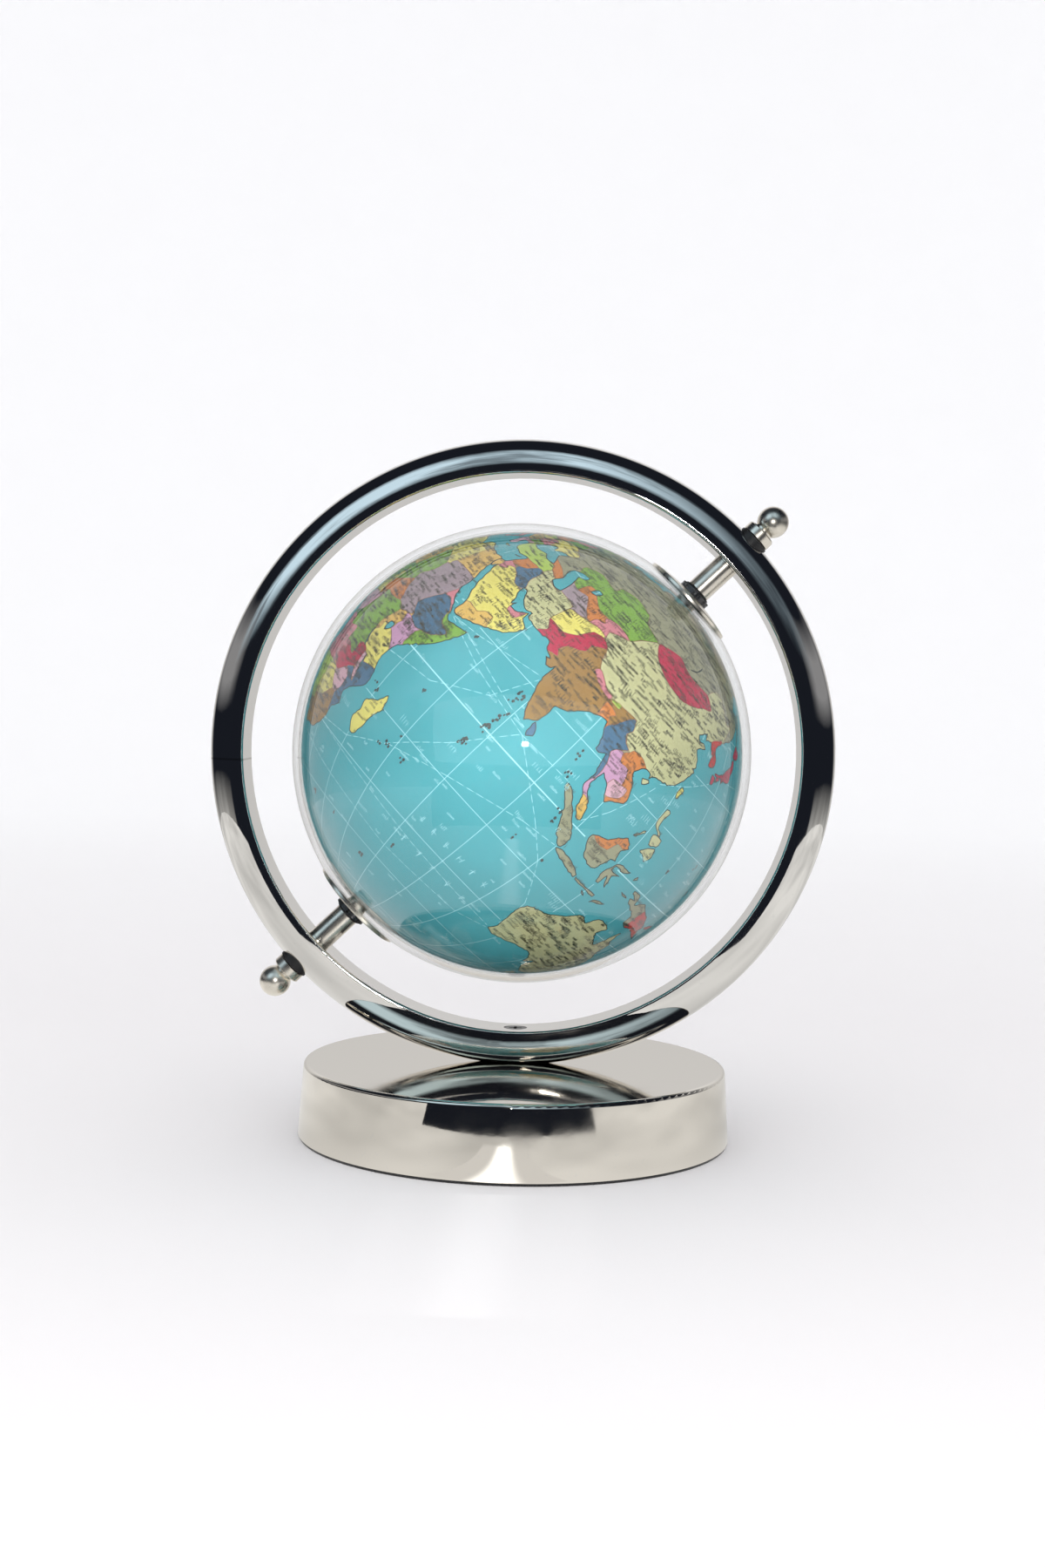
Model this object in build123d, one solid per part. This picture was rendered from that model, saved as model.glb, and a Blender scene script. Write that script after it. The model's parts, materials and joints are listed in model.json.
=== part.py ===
from build123d import *
import math
import os

# Desktop globe on a ring stand. Millimetres, +Z up, origin at the middle of the
# base's underside. The ring stands in the XZ plane and the front faces -Y.

# Globe
globe_d = 127.0          # outside of the clear shell
clear_wall = 1.7
air_gap = 0.8            # between the printed ball and the clear shell
paper_thk = 0.3
ball_wall = 1.5
gore_count = 12
paper_pole_r = 8.0       # the paper stops short of the poles by this radius

# Axle
axis_tilt = 46.0         # degrees from upright, leaning towards +X
rod_d = 4.0
rod_play = 0.05          # radial running clearance in the bushings
hole_play = 0.1          # radial clearance of every hole the rod only passes through
rod_in_finial = 6.0

# Pole hardware
cap_d = 28.0
cap_thk = 0.8
bushing_d = 6.0
bushing_flange_d = 14.0
bushing_flange_thk = 1.2
bushing_play = 0.1
spacer_d = 12.0
knurl_d = 9.6
knurl_h = 1.4
knurl_flutes = 28
knurl_flute_r = 0.28
end_play = 0.1           # between the turning nut and the fixed thrust washer
thrust_d = 8.0
thrust_thk = 0.4
sleeve_d = 7.0
sleeve_gap = 10.6        # sleeve length, which sets the ring's inside size
sleeve_chamfer = 0.3

# Ring, a D-shaped bar bent to a circle with its flat side inwards
ring_depth = 10.1        # radial
ring_width = 15.0        # front to back
ring_edge_r = 0.8
foot_flat = 0.5          # ground off the lowest point so that the ring stands flush

# Finials
saddle_d = 9.0
saddle_thk = 0.4
collar_d = 8.6
collar_h = 3.0
collar_edge = 0.4
neck_d = 5.6
neck_h = 0.6
finial_ball_d = 8.7

# Base
base_d = 120.0
base_draw = 1.3          # how far the side draws in from bottom to top, per side
base_h = 20.5            # felt included
base_wall = 1.2
base_edge_r = 1.1
felt_thk = 0.8
felt_inset = 0.4
ballast_play = 0.1

# Screw that holds the ring on the base
screw_d = 3.5
screw_head_d = 6.2
screw_head_rim = 0.2
screw_hole_play = 0.15
screw_proud = 1.0        # thread showing below the nut
recess_span = 3.4
recess_slot = 0.8
recess_depth = 0.9
pocket_d = 12.0
pocket_depth = 7.0
washer_d = 9.0
washer_thk = 0.8
lock_washer_d = 6.6
lock_washer_thk = 0.9
lock_washer_slit = 1.0
nut_across_flats = 6.0
nut_thk = 2.8

# Radii and places along the axle, worked out from the values above
globe_r = globe_d / 2
clear_in_r = globe_r - clear_wall
paper_r = clear_in_r - air_gap
ball_r = paper_r - paper_thk
ball_in_r = ball_r - ball_wall
cap_r = globe_r + cap_thk
rod_r = rod_d / 2
bushing_r = bushing_d / 2
shell_hole_r = bushing_r + bushing_play


def chord_height(radius, half_width):
    """Distance from a circle's centre to a chord of the given half width."""
    return math.sqrt(radius**2 - half_width**2)


knurl_bottom = chord_height(cap_r, bushing_r)
knurl_top = knurl_bottom + knurl_h
thrust_bottom = knurl_top + end_play
sleeve_bottom = thrust_bottom + thrust_thk
sleeve_top = sleeve_bottom + sleeve_gap
ring_in_r = math.hypot(sleeve_top, sleeve_d / 2)
ring_out_r = ring_in_r + ring_depth
finial_seat = ring_out_r + saddle_thk
finial_ball_z = finial_seat + collar_h + neck_h + chord_height(finial_ball_d / 2, neck_d / 2)
rod_end = finial_seat + rod_in_finial
ring_z = base_h + ring_out_r - foot_flat

axle_place = Location((0, 0, ring_z)) * Rotation(0, axis_tilt, 0)
side_turn = {"north": Rotation(0, 0, 0), "south": Rotation(180, 0, 0)}


def disc(radius, bottom, top):
    """Upright cylinder between two heights."""
    return Pos(0, 0, bottom) * Cylinder(radius, top - bottom, align=(Align.CENTER, Align.CENTER, Align.MIN))


def tube(outer_r, inner_r, bottom, top):
    """Upright tube between two heights."""
    return disc(outer_r, bottom, top) - disc(inner_r, bottom, top)


def turned(points):
    """Solid turned about Z from an outline of (radius, height) points."""
    outline = make_face(Polyline(*points, close=True))
    return revolve(Plane.XZ * outline, Axis.Z)


def arc_about_origin(radius, start_angle, end_angle):
    """Arc centred on the globe's centre, angles in degrees from the north pole."""
    spots = []
    for angle in (start_angle, (start_angle + end_angle) / 2, end_angle):
        spots.append((radius * math.sin(math.radians(angle)), radius * math.cos(math.radians(angle))))
    return ThreePointArc(*spots)


def polar_angle(radius, half_width):
    return math.degrees(math.asin(half_width / radius))


def sphere_band(inner_r, outer_r, hole_r, edge_r=None, sweep=360):
    """Spherical wall from a pole hole to an edge radius, or to the equator if none is given."""
    end_in = 90 if edge_r is None else polar_angle(inner_r, edge_r)
    end_out = 90 if edge_r is None else polar_angle(outer_r, edge_r)
    inside = arc_about_origin(inner_r, polar_angle(inner_r, hole_r), end_in)
    outside = arc_about_origin(outer_r, polar_angle(outer_r, hole_r), end_out)
    hole_side = Line(inside @ 0, outside @ 0)
    edge_side = Line(inside @ 1, outside @ 1)
    return revolve(Plane.XZ * make_face([inside, edge_side, outside, hole_side]), Axis.Z, sweep)


def ring_bar():
    """The bent D bar before drilling, about the ring's own centre."""
    half = ring_width / 2
    dome = EllipticalCenterArc((ring_in_r, 0), ring_depth, half, start_angle=-90, arc_size=180)
    flat = Line((ring_in_r, half), (ring_in_r, -half))
    section = make_face([dome, flat])
    section = fillet(section.vertices(), ring_edge_r)
    return revolve(section, Axis.Y)


def ring():
    """Bar with a foot flat, the axle's two holes and the countersunk screw hole."""
    bar = Pos(0, 0, ring_z) * ring_bar()
    below_base_top = Pos(0, 0, base_h) * Box(
        ring_out_r, ring_width, ring_depth, align=(Align.CENTER, Align.CENTER, Align.MAX)
    )
    axle_hole = axle_place * disc(rod_r + hole_play, -ring_out_r, ring_out_r)
    return bar - below_base_top - axle_hole - screw_blank(screw_hole_play, base_h)


def screw_blank(play, bottom):
    """Countersunk screw shape, its flat head level with the ring's inner face."""
    top = ring_z - ring_in_r
    head_r = screw_head_d / 2 + play
    shank_r = screw_d / 2 + play
    cone_top = top - screw_head_rim
    cone_bottom = cone_top - (head_r - shank_r)
    mouth = top + ring_edge_r if play else top
    return turned(
        [(0, bottom), (shank_r, bottom), (shank_r, cone_bottom), (head_r, cone_top), (head_r, mouth), (0, mouth)]
    )


def ring_screw():
    """Countersunk screw with a cross recess."""
    top = ring_z - ring_in_r
    slot = Pos(0, 0, top) * Box(
        recess_span, recess_slot, recess_depth, align=(Align.CENTER, Align.CENTER, Align.MAX)
    )
    return screw_blank(0, nut_bottom - screw_proud) - slot - Rotation(0, 0, 90) * slot


def base_body(inset):
    """Tapered drum of the base, drawn in by an inset on its side and top."""
    bottom_r = base_d / 2 - inset
    top = base_h - inset
    top_r = bottom_r - base_draw * (top - felt_thk) / (base_h - felt_thk)
    return turned([(0, felt_thk), (bottom_r, felt_thk), (top_r, top), (0, top)])


def base_shell():
    """Spun metal cup, open below."""
    drum = base_body(0)
    drum = fillet(drum.edges().group_by(Axis.Z)[-1], base_edge_r)
    return drum - base_body(base_wall) - disc(screw_d / 2 + screw_hole_play, felt_thk, base_h)


def base_ballast():
    """Cast filling with the screw's hole and a pocket for its nut."""
    filling = base_body(base_wall)
    filling = filling & disc(base_d / 2 - base_wall - base_draw - ballast_play, felt_thk, base_h)
    filling = filling - disc(screw_d / 2 + screw_hole_play, felt_thk, base_h)
    return filling - disc(pocket_d / 2, felt_thk, pocket_top)


def lock_washer():
    """Split spring washer."""
    ring_part = tube(lock_washer_d / 2, screw_d / 2, nut_top, nut_top + lock_washer_thk)
    slit = Pos(lock_washer_d / 2, 0, nut_top) * Box(
        lock_washer_d, lock_washer_slit, lock_washer_thk, align=(Align.CENTER, Align.CENTER, Align.MIN)
    )
    return ring_part - slit


def hex_nut():
    block = extrude(RegularPolygon(nut_across_flats / 2, 6, major_radius=False), nut_thk)
    return Pos(0, 0, nut_bottom) * block - disc(screw_d / 2, nut_bottom, nut_top)


def finial():
    """Collar, neck and ball on a blind threaded hole."""
    collar_r = collar_d / 2
    collar_top = finial_seat + collar_h
    collar = turned(
        [
            (0, finial_seat),
            (collar_r - collar_edge, finial_seat),
            (collar_r, finial_seat + collar_edge),
            (collar_r, collar_top - collar_edge),
            (collar_r - collar_edge, collar_top),
            (0, collar_top),
        ]
    )
    neck = disc(neck_d / 2, collar_top, finial_ball_z)
    ball = Pos(0, 0, finial_ball_z) * Sphere(finial_ball_d / 2)
    return collar + neck + ball - disc(rod_r, finial_seat, rod_end)


def finial_saddle():
    """Black washer, flat for the finial and hollowed to sit on the ring's dome."""
    blank = tube(saddle_d / 2, rod_r + hole_play, ring_out_r - saddle_d / 2, finial_seat)
    return blank - Rotation(0, -axis_tilt, 0) * ring_bar()


def sleeve():
    """Bright tube that holds the ring clear of the globe."""
    pipe = tube(sleeve_d / 2, rod_r + hole_play, sleeve_bottom, sleeve_top)
    circles = pipe.edges().filter_by(lambda edge: edge.is_closed)
    rim = circles.group_by(SortBy.RADIUS)[-1]
    return chamfer(rim.sort_by(Axis.Z)[0], sleeve_chamfer)


def knurled_nut():
    """Thin fluted nut, grooved round its middle, that clamps the cap to the globe."""
    outline = Circle(knurl_d / 2) - PolarLocations(knurl_d / 2, knurl_flutes) * Circle(knurl_flute_r)
    body = Pos(0, 0, knurl_bottom) * extrude(outline, knurl_h)
    groove = Pos(0, 0, (knurl_bottom + knurl_top) / 2) * Torus(knurl_d / 2, knurl_flute_r / 2)
    return body - groove - disc(bushing_r, knurl_bottom, knurl_top)


def bushing():
    """Flanged bearing that clamps ball, shell and cap together and turns on the rod."""
    flange_top = chord_height(ball_in_r, bushing_flange_d / 2)
    flange_bottom = flange_top - bushing_flange_thk
    body = disc(bushing_flange_d / 2, flange_bottom, flange_top) + disc(bushing_r, flange_bottom, knurl_top)
    return body - disc(rod_r + rod_play, flange_bottom, knurl_top)


def pole_cap():
    """Thin polished disc that follows the clear shell."""
    cap = sphere_band(globe_r, cap_r, bushing_r, cap_d / 2)
    circles = cap.edges().filter_by(lambda edge: edge.is_closed)
    rim = circles.group_by(SortBy.RADIUS)[-1]
    return fillet(rim.sort_by(Axis.Z)[-1], cap_thk / 3)


def map_gores():
    """Printed paper, one lens-shaped strip per gore, pole to pole."""
    sweep = 360 / gore_count
    upper = sphere_band(ball_r, paper_r, paper_pole_r, None, sweep)
    strip = upper + mirror(upper, Plane.XY)
    return Compound([Rotation(0, 0, sweep * i) * strip for i in range(gore_count)])


pocket_top = felt_thk + pocket_depth
lock_washer_top = pocket_top - washer_thk
nut_top = lock_washer_top - lock_washer_thk
nut_bottom = nut_top - nut_thk

parts = {
    "base_felt": disc(base_d / 2 - felt_inset, 0, felt_thk),
    "base_shell": base_shell(),
    "base_ballast": base_ballast(),
    "ring": ring(),
    "ring_screw": ring_screw(),
    "ring_washer": tube(washer_d / 2, screw_d / 2, lock_washer_top, pocket_top),
    "ring_lock_washer": lock_washer(),
    "ring_nut": hex_nut(),
    "axle_rod": axle_place * chamfer(disc(rod_r, -rod_end, rod_end).edges().filter_by(GeomType.CIRCLE), 0.4),
    "map_gores": axle_place * map_gores(),
}
for side, turn in side_turn.items():
    polar_pieces = {
        "finial": finial(),
        "finial_saddle": finial_saddle(),
        "sleeve": sleeve(),
        "thrust_washer": tube(thrust_d / 2, rod_r + hole_play, thrust_bottom, sleeve_bottom),
        "knurled_nut": knurled_nut(),
        "pole_cap": pole_cap(),
        "bushing": bushing(),
        "gap_spacer": sphere_band(ball_r, clear_in_r, shell_hole_r, spacer_d / 2),
        "clear_shell": sphere_band(clear_in_r, globe_r, shell_hole_r),
        "map_ball": sphere_band(ball_in_r, ball_r, shell_hole_r),
    }
    for name, piece in polar_pieces.items():
        parts[side + "_" + name] = axle_place * turn * piece

os.makedirs("parts", exist_ok=True)
for name, piece in parts.items():
    piece.label = name
    export_step(piece, "parts/" + name + ".step")
print("ring inside", round(2 * ring_in_r, 2), "outside", round(2 * ring_out_r, 2), "centre at", round(ring_z, 2))
print("finial ball centre at", round(finial_ball_z, 2), "from the ring's centre")
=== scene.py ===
import json
import math
import random

import bpy
import numpy as np
from mathutils import Matrix, Vector
from mathutils.geometry import delaunay_2d_cdt


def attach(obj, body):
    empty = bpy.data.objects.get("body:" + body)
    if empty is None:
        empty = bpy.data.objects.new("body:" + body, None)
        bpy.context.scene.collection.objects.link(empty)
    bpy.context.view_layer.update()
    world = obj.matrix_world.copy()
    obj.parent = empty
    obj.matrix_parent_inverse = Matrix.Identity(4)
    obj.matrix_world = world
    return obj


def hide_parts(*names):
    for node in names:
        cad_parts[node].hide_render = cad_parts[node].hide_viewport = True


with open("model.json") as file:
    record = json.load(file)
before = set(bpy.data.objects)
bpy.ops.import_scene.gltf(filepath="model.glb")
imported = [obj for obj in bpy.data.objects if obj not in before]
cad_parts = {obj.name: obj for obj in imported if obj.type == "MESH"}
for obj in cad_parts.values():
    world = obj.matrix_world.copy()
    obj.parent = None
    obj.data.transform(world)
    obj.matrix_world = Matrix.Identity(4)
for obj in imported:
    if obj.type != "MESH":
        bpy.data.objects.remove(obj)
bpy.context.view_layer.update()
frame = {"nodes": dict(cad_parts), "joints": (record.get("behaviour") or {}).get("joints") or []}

mm = 0.001

# the globe's own directions, from the joint it spins on
spin = frame["joints"][0]
globeCentre = Vector(spin["pos_m"])
northWay = Vector(spin["axis"]).normalized()
frontWay = Vector((0, -1, 0))
eastWay = northWay.cross(frontWay)


def srgb(red, green, blue):
    # screen values 0 to 255 turned into the linear ones that shaders take
    made = []
    for part in (red, green, blue):
        share = part / 255
        made.append(share / 12.92 if share <= 0.04045 else ((share + 0.055) / 1.055) ** 2.4)
    return (*made, 1.0)


def newMaterial(name):
    made = bpy.data.materials.new(name)
    made.use_nodes = True
    tree = made.node_tree
    return made, tree, tree.nodes["Principled BSDF"]


def addNode(tree, kind, inputs=None, **settings):
    node = tree.nodes.new(kind)
    for key, value in settings.items():
        setattr(node, key, value)
    connect(tree, node, inputs or {})
    return node


def connect(tree, node, inputs):
    # links sockets and sets plain values
    for key, value in inputs.items():
        if isinstance(value, bpy.types.NodeSocket):
            tree.links.new(value, node.inputs[key])
        else:
            node.inputs[key].default_value = value


def newGroup(name, numbersIn, colorsIn, outs):
    group = bpy.data.node_groups.new(name, "ShaderNodeTree")
    for given, kind in ((numbersIn, "NodeSocketFloat"), (colorsIn, "NodeSocketColor")):
        for label, value in given.items():
            socket = group.interface.new_socket(label, in_out="INPUT", socket_type=kind)
            socket.default_value = value
    for label, kind in outs.items():
        group.interface.new_socket(label, in_out="OUTPUT", socket_type="NodeSocket" + kind)
    return group, group.nodes.new("NodeGroupInput").outputs, group.nodes.new("NodeGroupOutput")


def useGroup(tree, group, values):
    node = tree.nodes.new("ShaderNodeGroup")
    node.node_tree = group
    connect(tree, node, values)
    return node.outputs


def objectSpot(tree):
    return addNode(tree, "ShaderNodeTexCoord").outputs["Object"]


def noiseAt(tree, where, scale, detail, breakup):
    values = {"Vector": where, "Scale": scale, "Detail": detail, "Roughness": breakup}
    return addNode(tree, "ShaderNodeTexNoise", values).outputs["Fac"]


def spread(tree, value, fromLow, fromHigh, toLow, toHigh, **settings):
    values = {"Value": value, "From Min": fromLow, "From Max": fromHigh, "To Min": toLow, "To Max": toHigh}
    return addNode(tree, "ShaderNodeMapRange", values, **settings).outputs["Result"]


def mathOf(tree, operation, *values):
    return addNode(tree, "ShaderNodeMath", dict(enumerate(values)), operation=operation).outputs[0]


def mixOf(tree, factor, colorA, colorB):
    values = {"Factor": factor, 6: colorA, 7: colorB}
    return addNode(tree, "ShaderNodeMix", values, data_type="RGBA", clamp_result=False).outputs[2]


def bumpOf(tree, height, strength, distance):
    values = {"Strength": strength, "Distance": distance, "Height": height}
    return addNode(tree, "ShaderNodeBump", values).outputs["Normal"]


def buildHandling():
    # smears, polishing lines and dust on every plated or turned piece
    group, given, leave = newGroup(
        "handlingMarks",
        {"smearScale": 60.0, "baseRough": 0.03, "smearRough": 0.08, "lineDepth": 0.02, "dustShare": 0.3},
        {"metalColor": (0.9, 0.9, 0.9, 1), "dustColor": (0.7, 0.7, 0.68, 1)},
        {"Color": "Color", "Roughness": "Float", "Height": "Float"},
    )
    where = objectSpot(group)
    soft = spread(group, noiseAt(group, where, given["smearScale"], 4.0, 0.6), 0.45, 0.75, 0.0, 1.0)
    dust = spread(group, noiseAt(group, where, 900.0, 2.0, 0.5), 0.64, 0.72, 0.0, 0.5)
    dusty = mathOf(group, "MULTIPLY", dust, given["dustShare"])
    lines = noiseAt(group, where, 220.0, 3.0, 0.7)
    connect(group, leave, {
        "Color": mixOf(group, dusty, given["metalColor"], given["dustColor"]),
        "Roughness": mathOf(group, "MULTIPLY_ADD", soft, given["smearRough"], given["baseRough"]),
        "Height": mathOf(group, "MULTIPLY", lines, given["lineDepth"]),
    })
    return group


def buildGrain():
    # two-tone grain of felt, castings, moulded plastic and dried ink
    group, given, leave = newGroup(
        "fineGrain",
        {"grainScale": 300.0, "detail": 4.0, "breakup": 0.65, "baseRough": 0.5, "roughSwing": 0.06},
        {"darkColor": (0.4, 0.4, 0.4, 1), "paleColor": (0.6, 0.6, 0.6, 1)},
        {"Color": "Color", "Roughness": "Float", "Height": "Float"},
    )
    grain = noiseAt(group, objectSpot(group), given["grainScale"], given["detail"], given["breakup"])
    swing = mathOf(group, "MULTIPLY", spread(group, grain, 0.3, 0.7, -1.0, 1.0), given["roughSwing"])
    connect(group, leave, {
        "Color": mixOf(group, grain, given["darkColor"], given["paleColor"]),
        "Roughness": mathOf(group, "ADD", swing, given["baseRough"]),
        "Height": grain,
    })
    return group


handling, fineGrain = buildHandling(), buildGrain()

# colour, smear scale, roughness, roughness that smears add, line depth, dust share
platedSet = {
    "ringPlate": (srgb(236, 234, 230), 45.0, 0.025, 0.07, 1.0, 0.35),
    "basePlate": (srgb(232, 227, 218), 38.0, 0.03, 0.10, 1.0, 0.35),
    "smallPlate": (srgb(246, 240, 228), 160.0, 0.26, 0.12, 0.6, 0.1),
    "darkKnurl": (srgb(96, 96, 98), 300.0, 0.16, 0.12, 1.0, 0.0),
    "darkScrew": (srgb(62, 62, 64), 300.0, 0.25, 0.12, 1.0, 0.2),
    "zincSteel": (srgb(176, 178, 182), 200.0, 0.22, 0.12, 1.0, 0.2),
    "turnedBrass": (srgb(204, 168, 96), 200.0, 0.2, 0.1, 1.0, 0.1),
}
# dark colour, pale colour, grain scale, roughness, bump depth, sheen
grainSet = {
    "blackFelt": (srgb(14, 14, 15), srgb(44, 44, 46), 1600.0, 0.9, 0.2 * mm, 0.4),
    "castFilling": (srgb(140, 136, 128), srgb(190, 186, 176), 260.0, 0.85, 0.2 * mm, 0.0),
    "blackNylon": (srgb(16, 16, 17), srgb(34, 34, 36), 700.0, 0.45, 0.02 * mm, 0.0),
    "whitePlastic": (srgb(222, 220, 212), srgb(240, 238, 232), 300.0, 0.5, 0.02 * mm, 0.0),
}
# which finish each piece of the stand and the hidden parts take; a star stands for north and south
pieceFinish = {
    "ringPlate": "ring", "basePlate": "base_shell", "blackFelt": "base_felt", "castFilling": "base_ballast",
    "darkScrew": "ring_screw", "zincSteel": "ring_washer ring_lock_washer ring_nut axle_rod",
    "smallPlate": "*_finial *_sleeve *_pole_cap", "darkKnurl": "*_knurled_nut", "turnedBrass": "*_bushing",
    "blackNylon": "*_finial_saddle *_thrust_washer *_gap_spacer", "whitePlastic": "*_map_ball",
}
weldSet = {
    "below": 3.4 * mm, "outside": -0.070, "inside": -0.069, "core": 0.1 * mm, "edge": 0.4 * mm,
    "tone": srgb(120, 112, 100), "strength": 0.5,
}


def platedMaterial(name, metalColor, smearScale, baseRough, smearRough, lineDepth, dustShare):
    made, tree, shader = newMaterial(name)
    marks = useGroup(tree, handling, {
        "smearScale": smearScale, "baseRough": baseRough, "smearRough": smearRough,
        "lineDepth": lineDepth, "dustShare": dustShare, "metalColor": metalColor,
    })
    connect(tree, shader, {
        "Base Color": marks["Color"], "Roughness": marks["Roughness"], "Metallic": 1.0,
        "Normal": bumpOf(tree, marks["Height"], 0.15, 0.02 * mm),
    })
    return made


def grainMaterial(name, darkColor, paleColor, grainScale, baseRough, bumpDepth, sheen):
    made, tree, shader = newMaterial(name)
    grain = useGroup(tree, fineGrain, {
        "grainScale": grainScale, "baseRough": baseRough, "darkColor": darkColor, "paleColor": paleColor,
    })
    connect(tree, shader, {
        "Base Color": grain["Color"], "Roughness": grain["Roughness"], "Sheen Weight": sheen,
        "Normal": bumpOf(tree, grain["Height"], 0.5, bumpDepth),
    })
    return made


def markWeld(made):
    # faint filed weld across the ring, on the left at middle height
    tree = made.node_tree
    shader = tree.nodes["Principled BSDF"]
    color = shader.inputs["Base Color"].links[0].from_socket
    parts = addNode(tree, "ShaderNodeSeparateXYZ", {0: objectSpot(tree)}).outputs
    off = mathOf(tree, "ABSOLUTE", mathOf(tree, "SUBTRACT", parts["Z"], globeCentre.z - weldSet["below"]))
    left = spread(tree, parts["X"], weldSet["outside"], weldSet["inside"], 1.0, 0.0)
    seam = spread(tree, off, weldSet["core"], weldSet["edge"], weldSet["strength"], 0.0)
    line = mathOf(tree, "MULTIPLY", seam, left)
    connect(tree, shader, {"Base Color": mixOf(tree, line, color, weldSet["tone"])})


finishes = {name: platedMaterial(name, *values) for name, values in platedSet.items()}
finishes |= {name: grainMaterial(name, *values) for name, values in grainSet.items()}
for finish, names in pieceFinish.items():
    for name in names.split():
        for side in ("north", "south") if "*" in name else ("",):
            for place in frame["nodes"][name.replace("*", side)].material_slots:
                place.material = finishes[finish]
markWeld(finishes["ringPlate"])
print("plated and hidden pieces finished")

mapSet = {
    "paperRadius": 61.0 * mm,
    "inkRise": 0.03 * mm,
    "poleEdge": 82.4,          # latitude where the paper stops, under the pole caps
    "middleLongitude": 83.0,   # what faces the front at rest
    "gridStep": 3.0,
    "seed": 7,
    "coastInk": 0.26 * mm,
    "borderInk": 0.16 * mm,
    "graticuleInk": 0.17 * mm,
    "graticuleStep": 1.5,
    "equatorTimes": 2.0,       # how much wider the equator is drawn
    "routeInk": 0.15 * mm,
    "routeDash": 0.9,
    "cloudTone": (0.93, 1.05),  # darkest and lightest that the paper's clouding makes the inks
    "grainTone": (0.95, 1.04),
    "paperRough": (0.38, 0.52),
    "paperGloss": 0.06,
}
inks = {
    "ocean": (84, 170, 180), "khaki": (196, 196, 150), "greyKhaki": (158, 158, 130), "sand": (162, 128, 78),
    "yellow": (226, 216, 118), "gold": (222, 184, 104), "orange": (206, 132, 76), "crimson": (190, 62, 86),
    "rose": (206, 132, 142), "pink": (214, 172, 186), "violet": (198, 154, 186), "mauve": (164, 148, 156),
    "slate": (84, 118, 146), "green": (132, 176, 78), "lime": (176, 204, 96), "red": (204, 70, 66),
    "white": (226, 230, 226),
}

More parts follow.
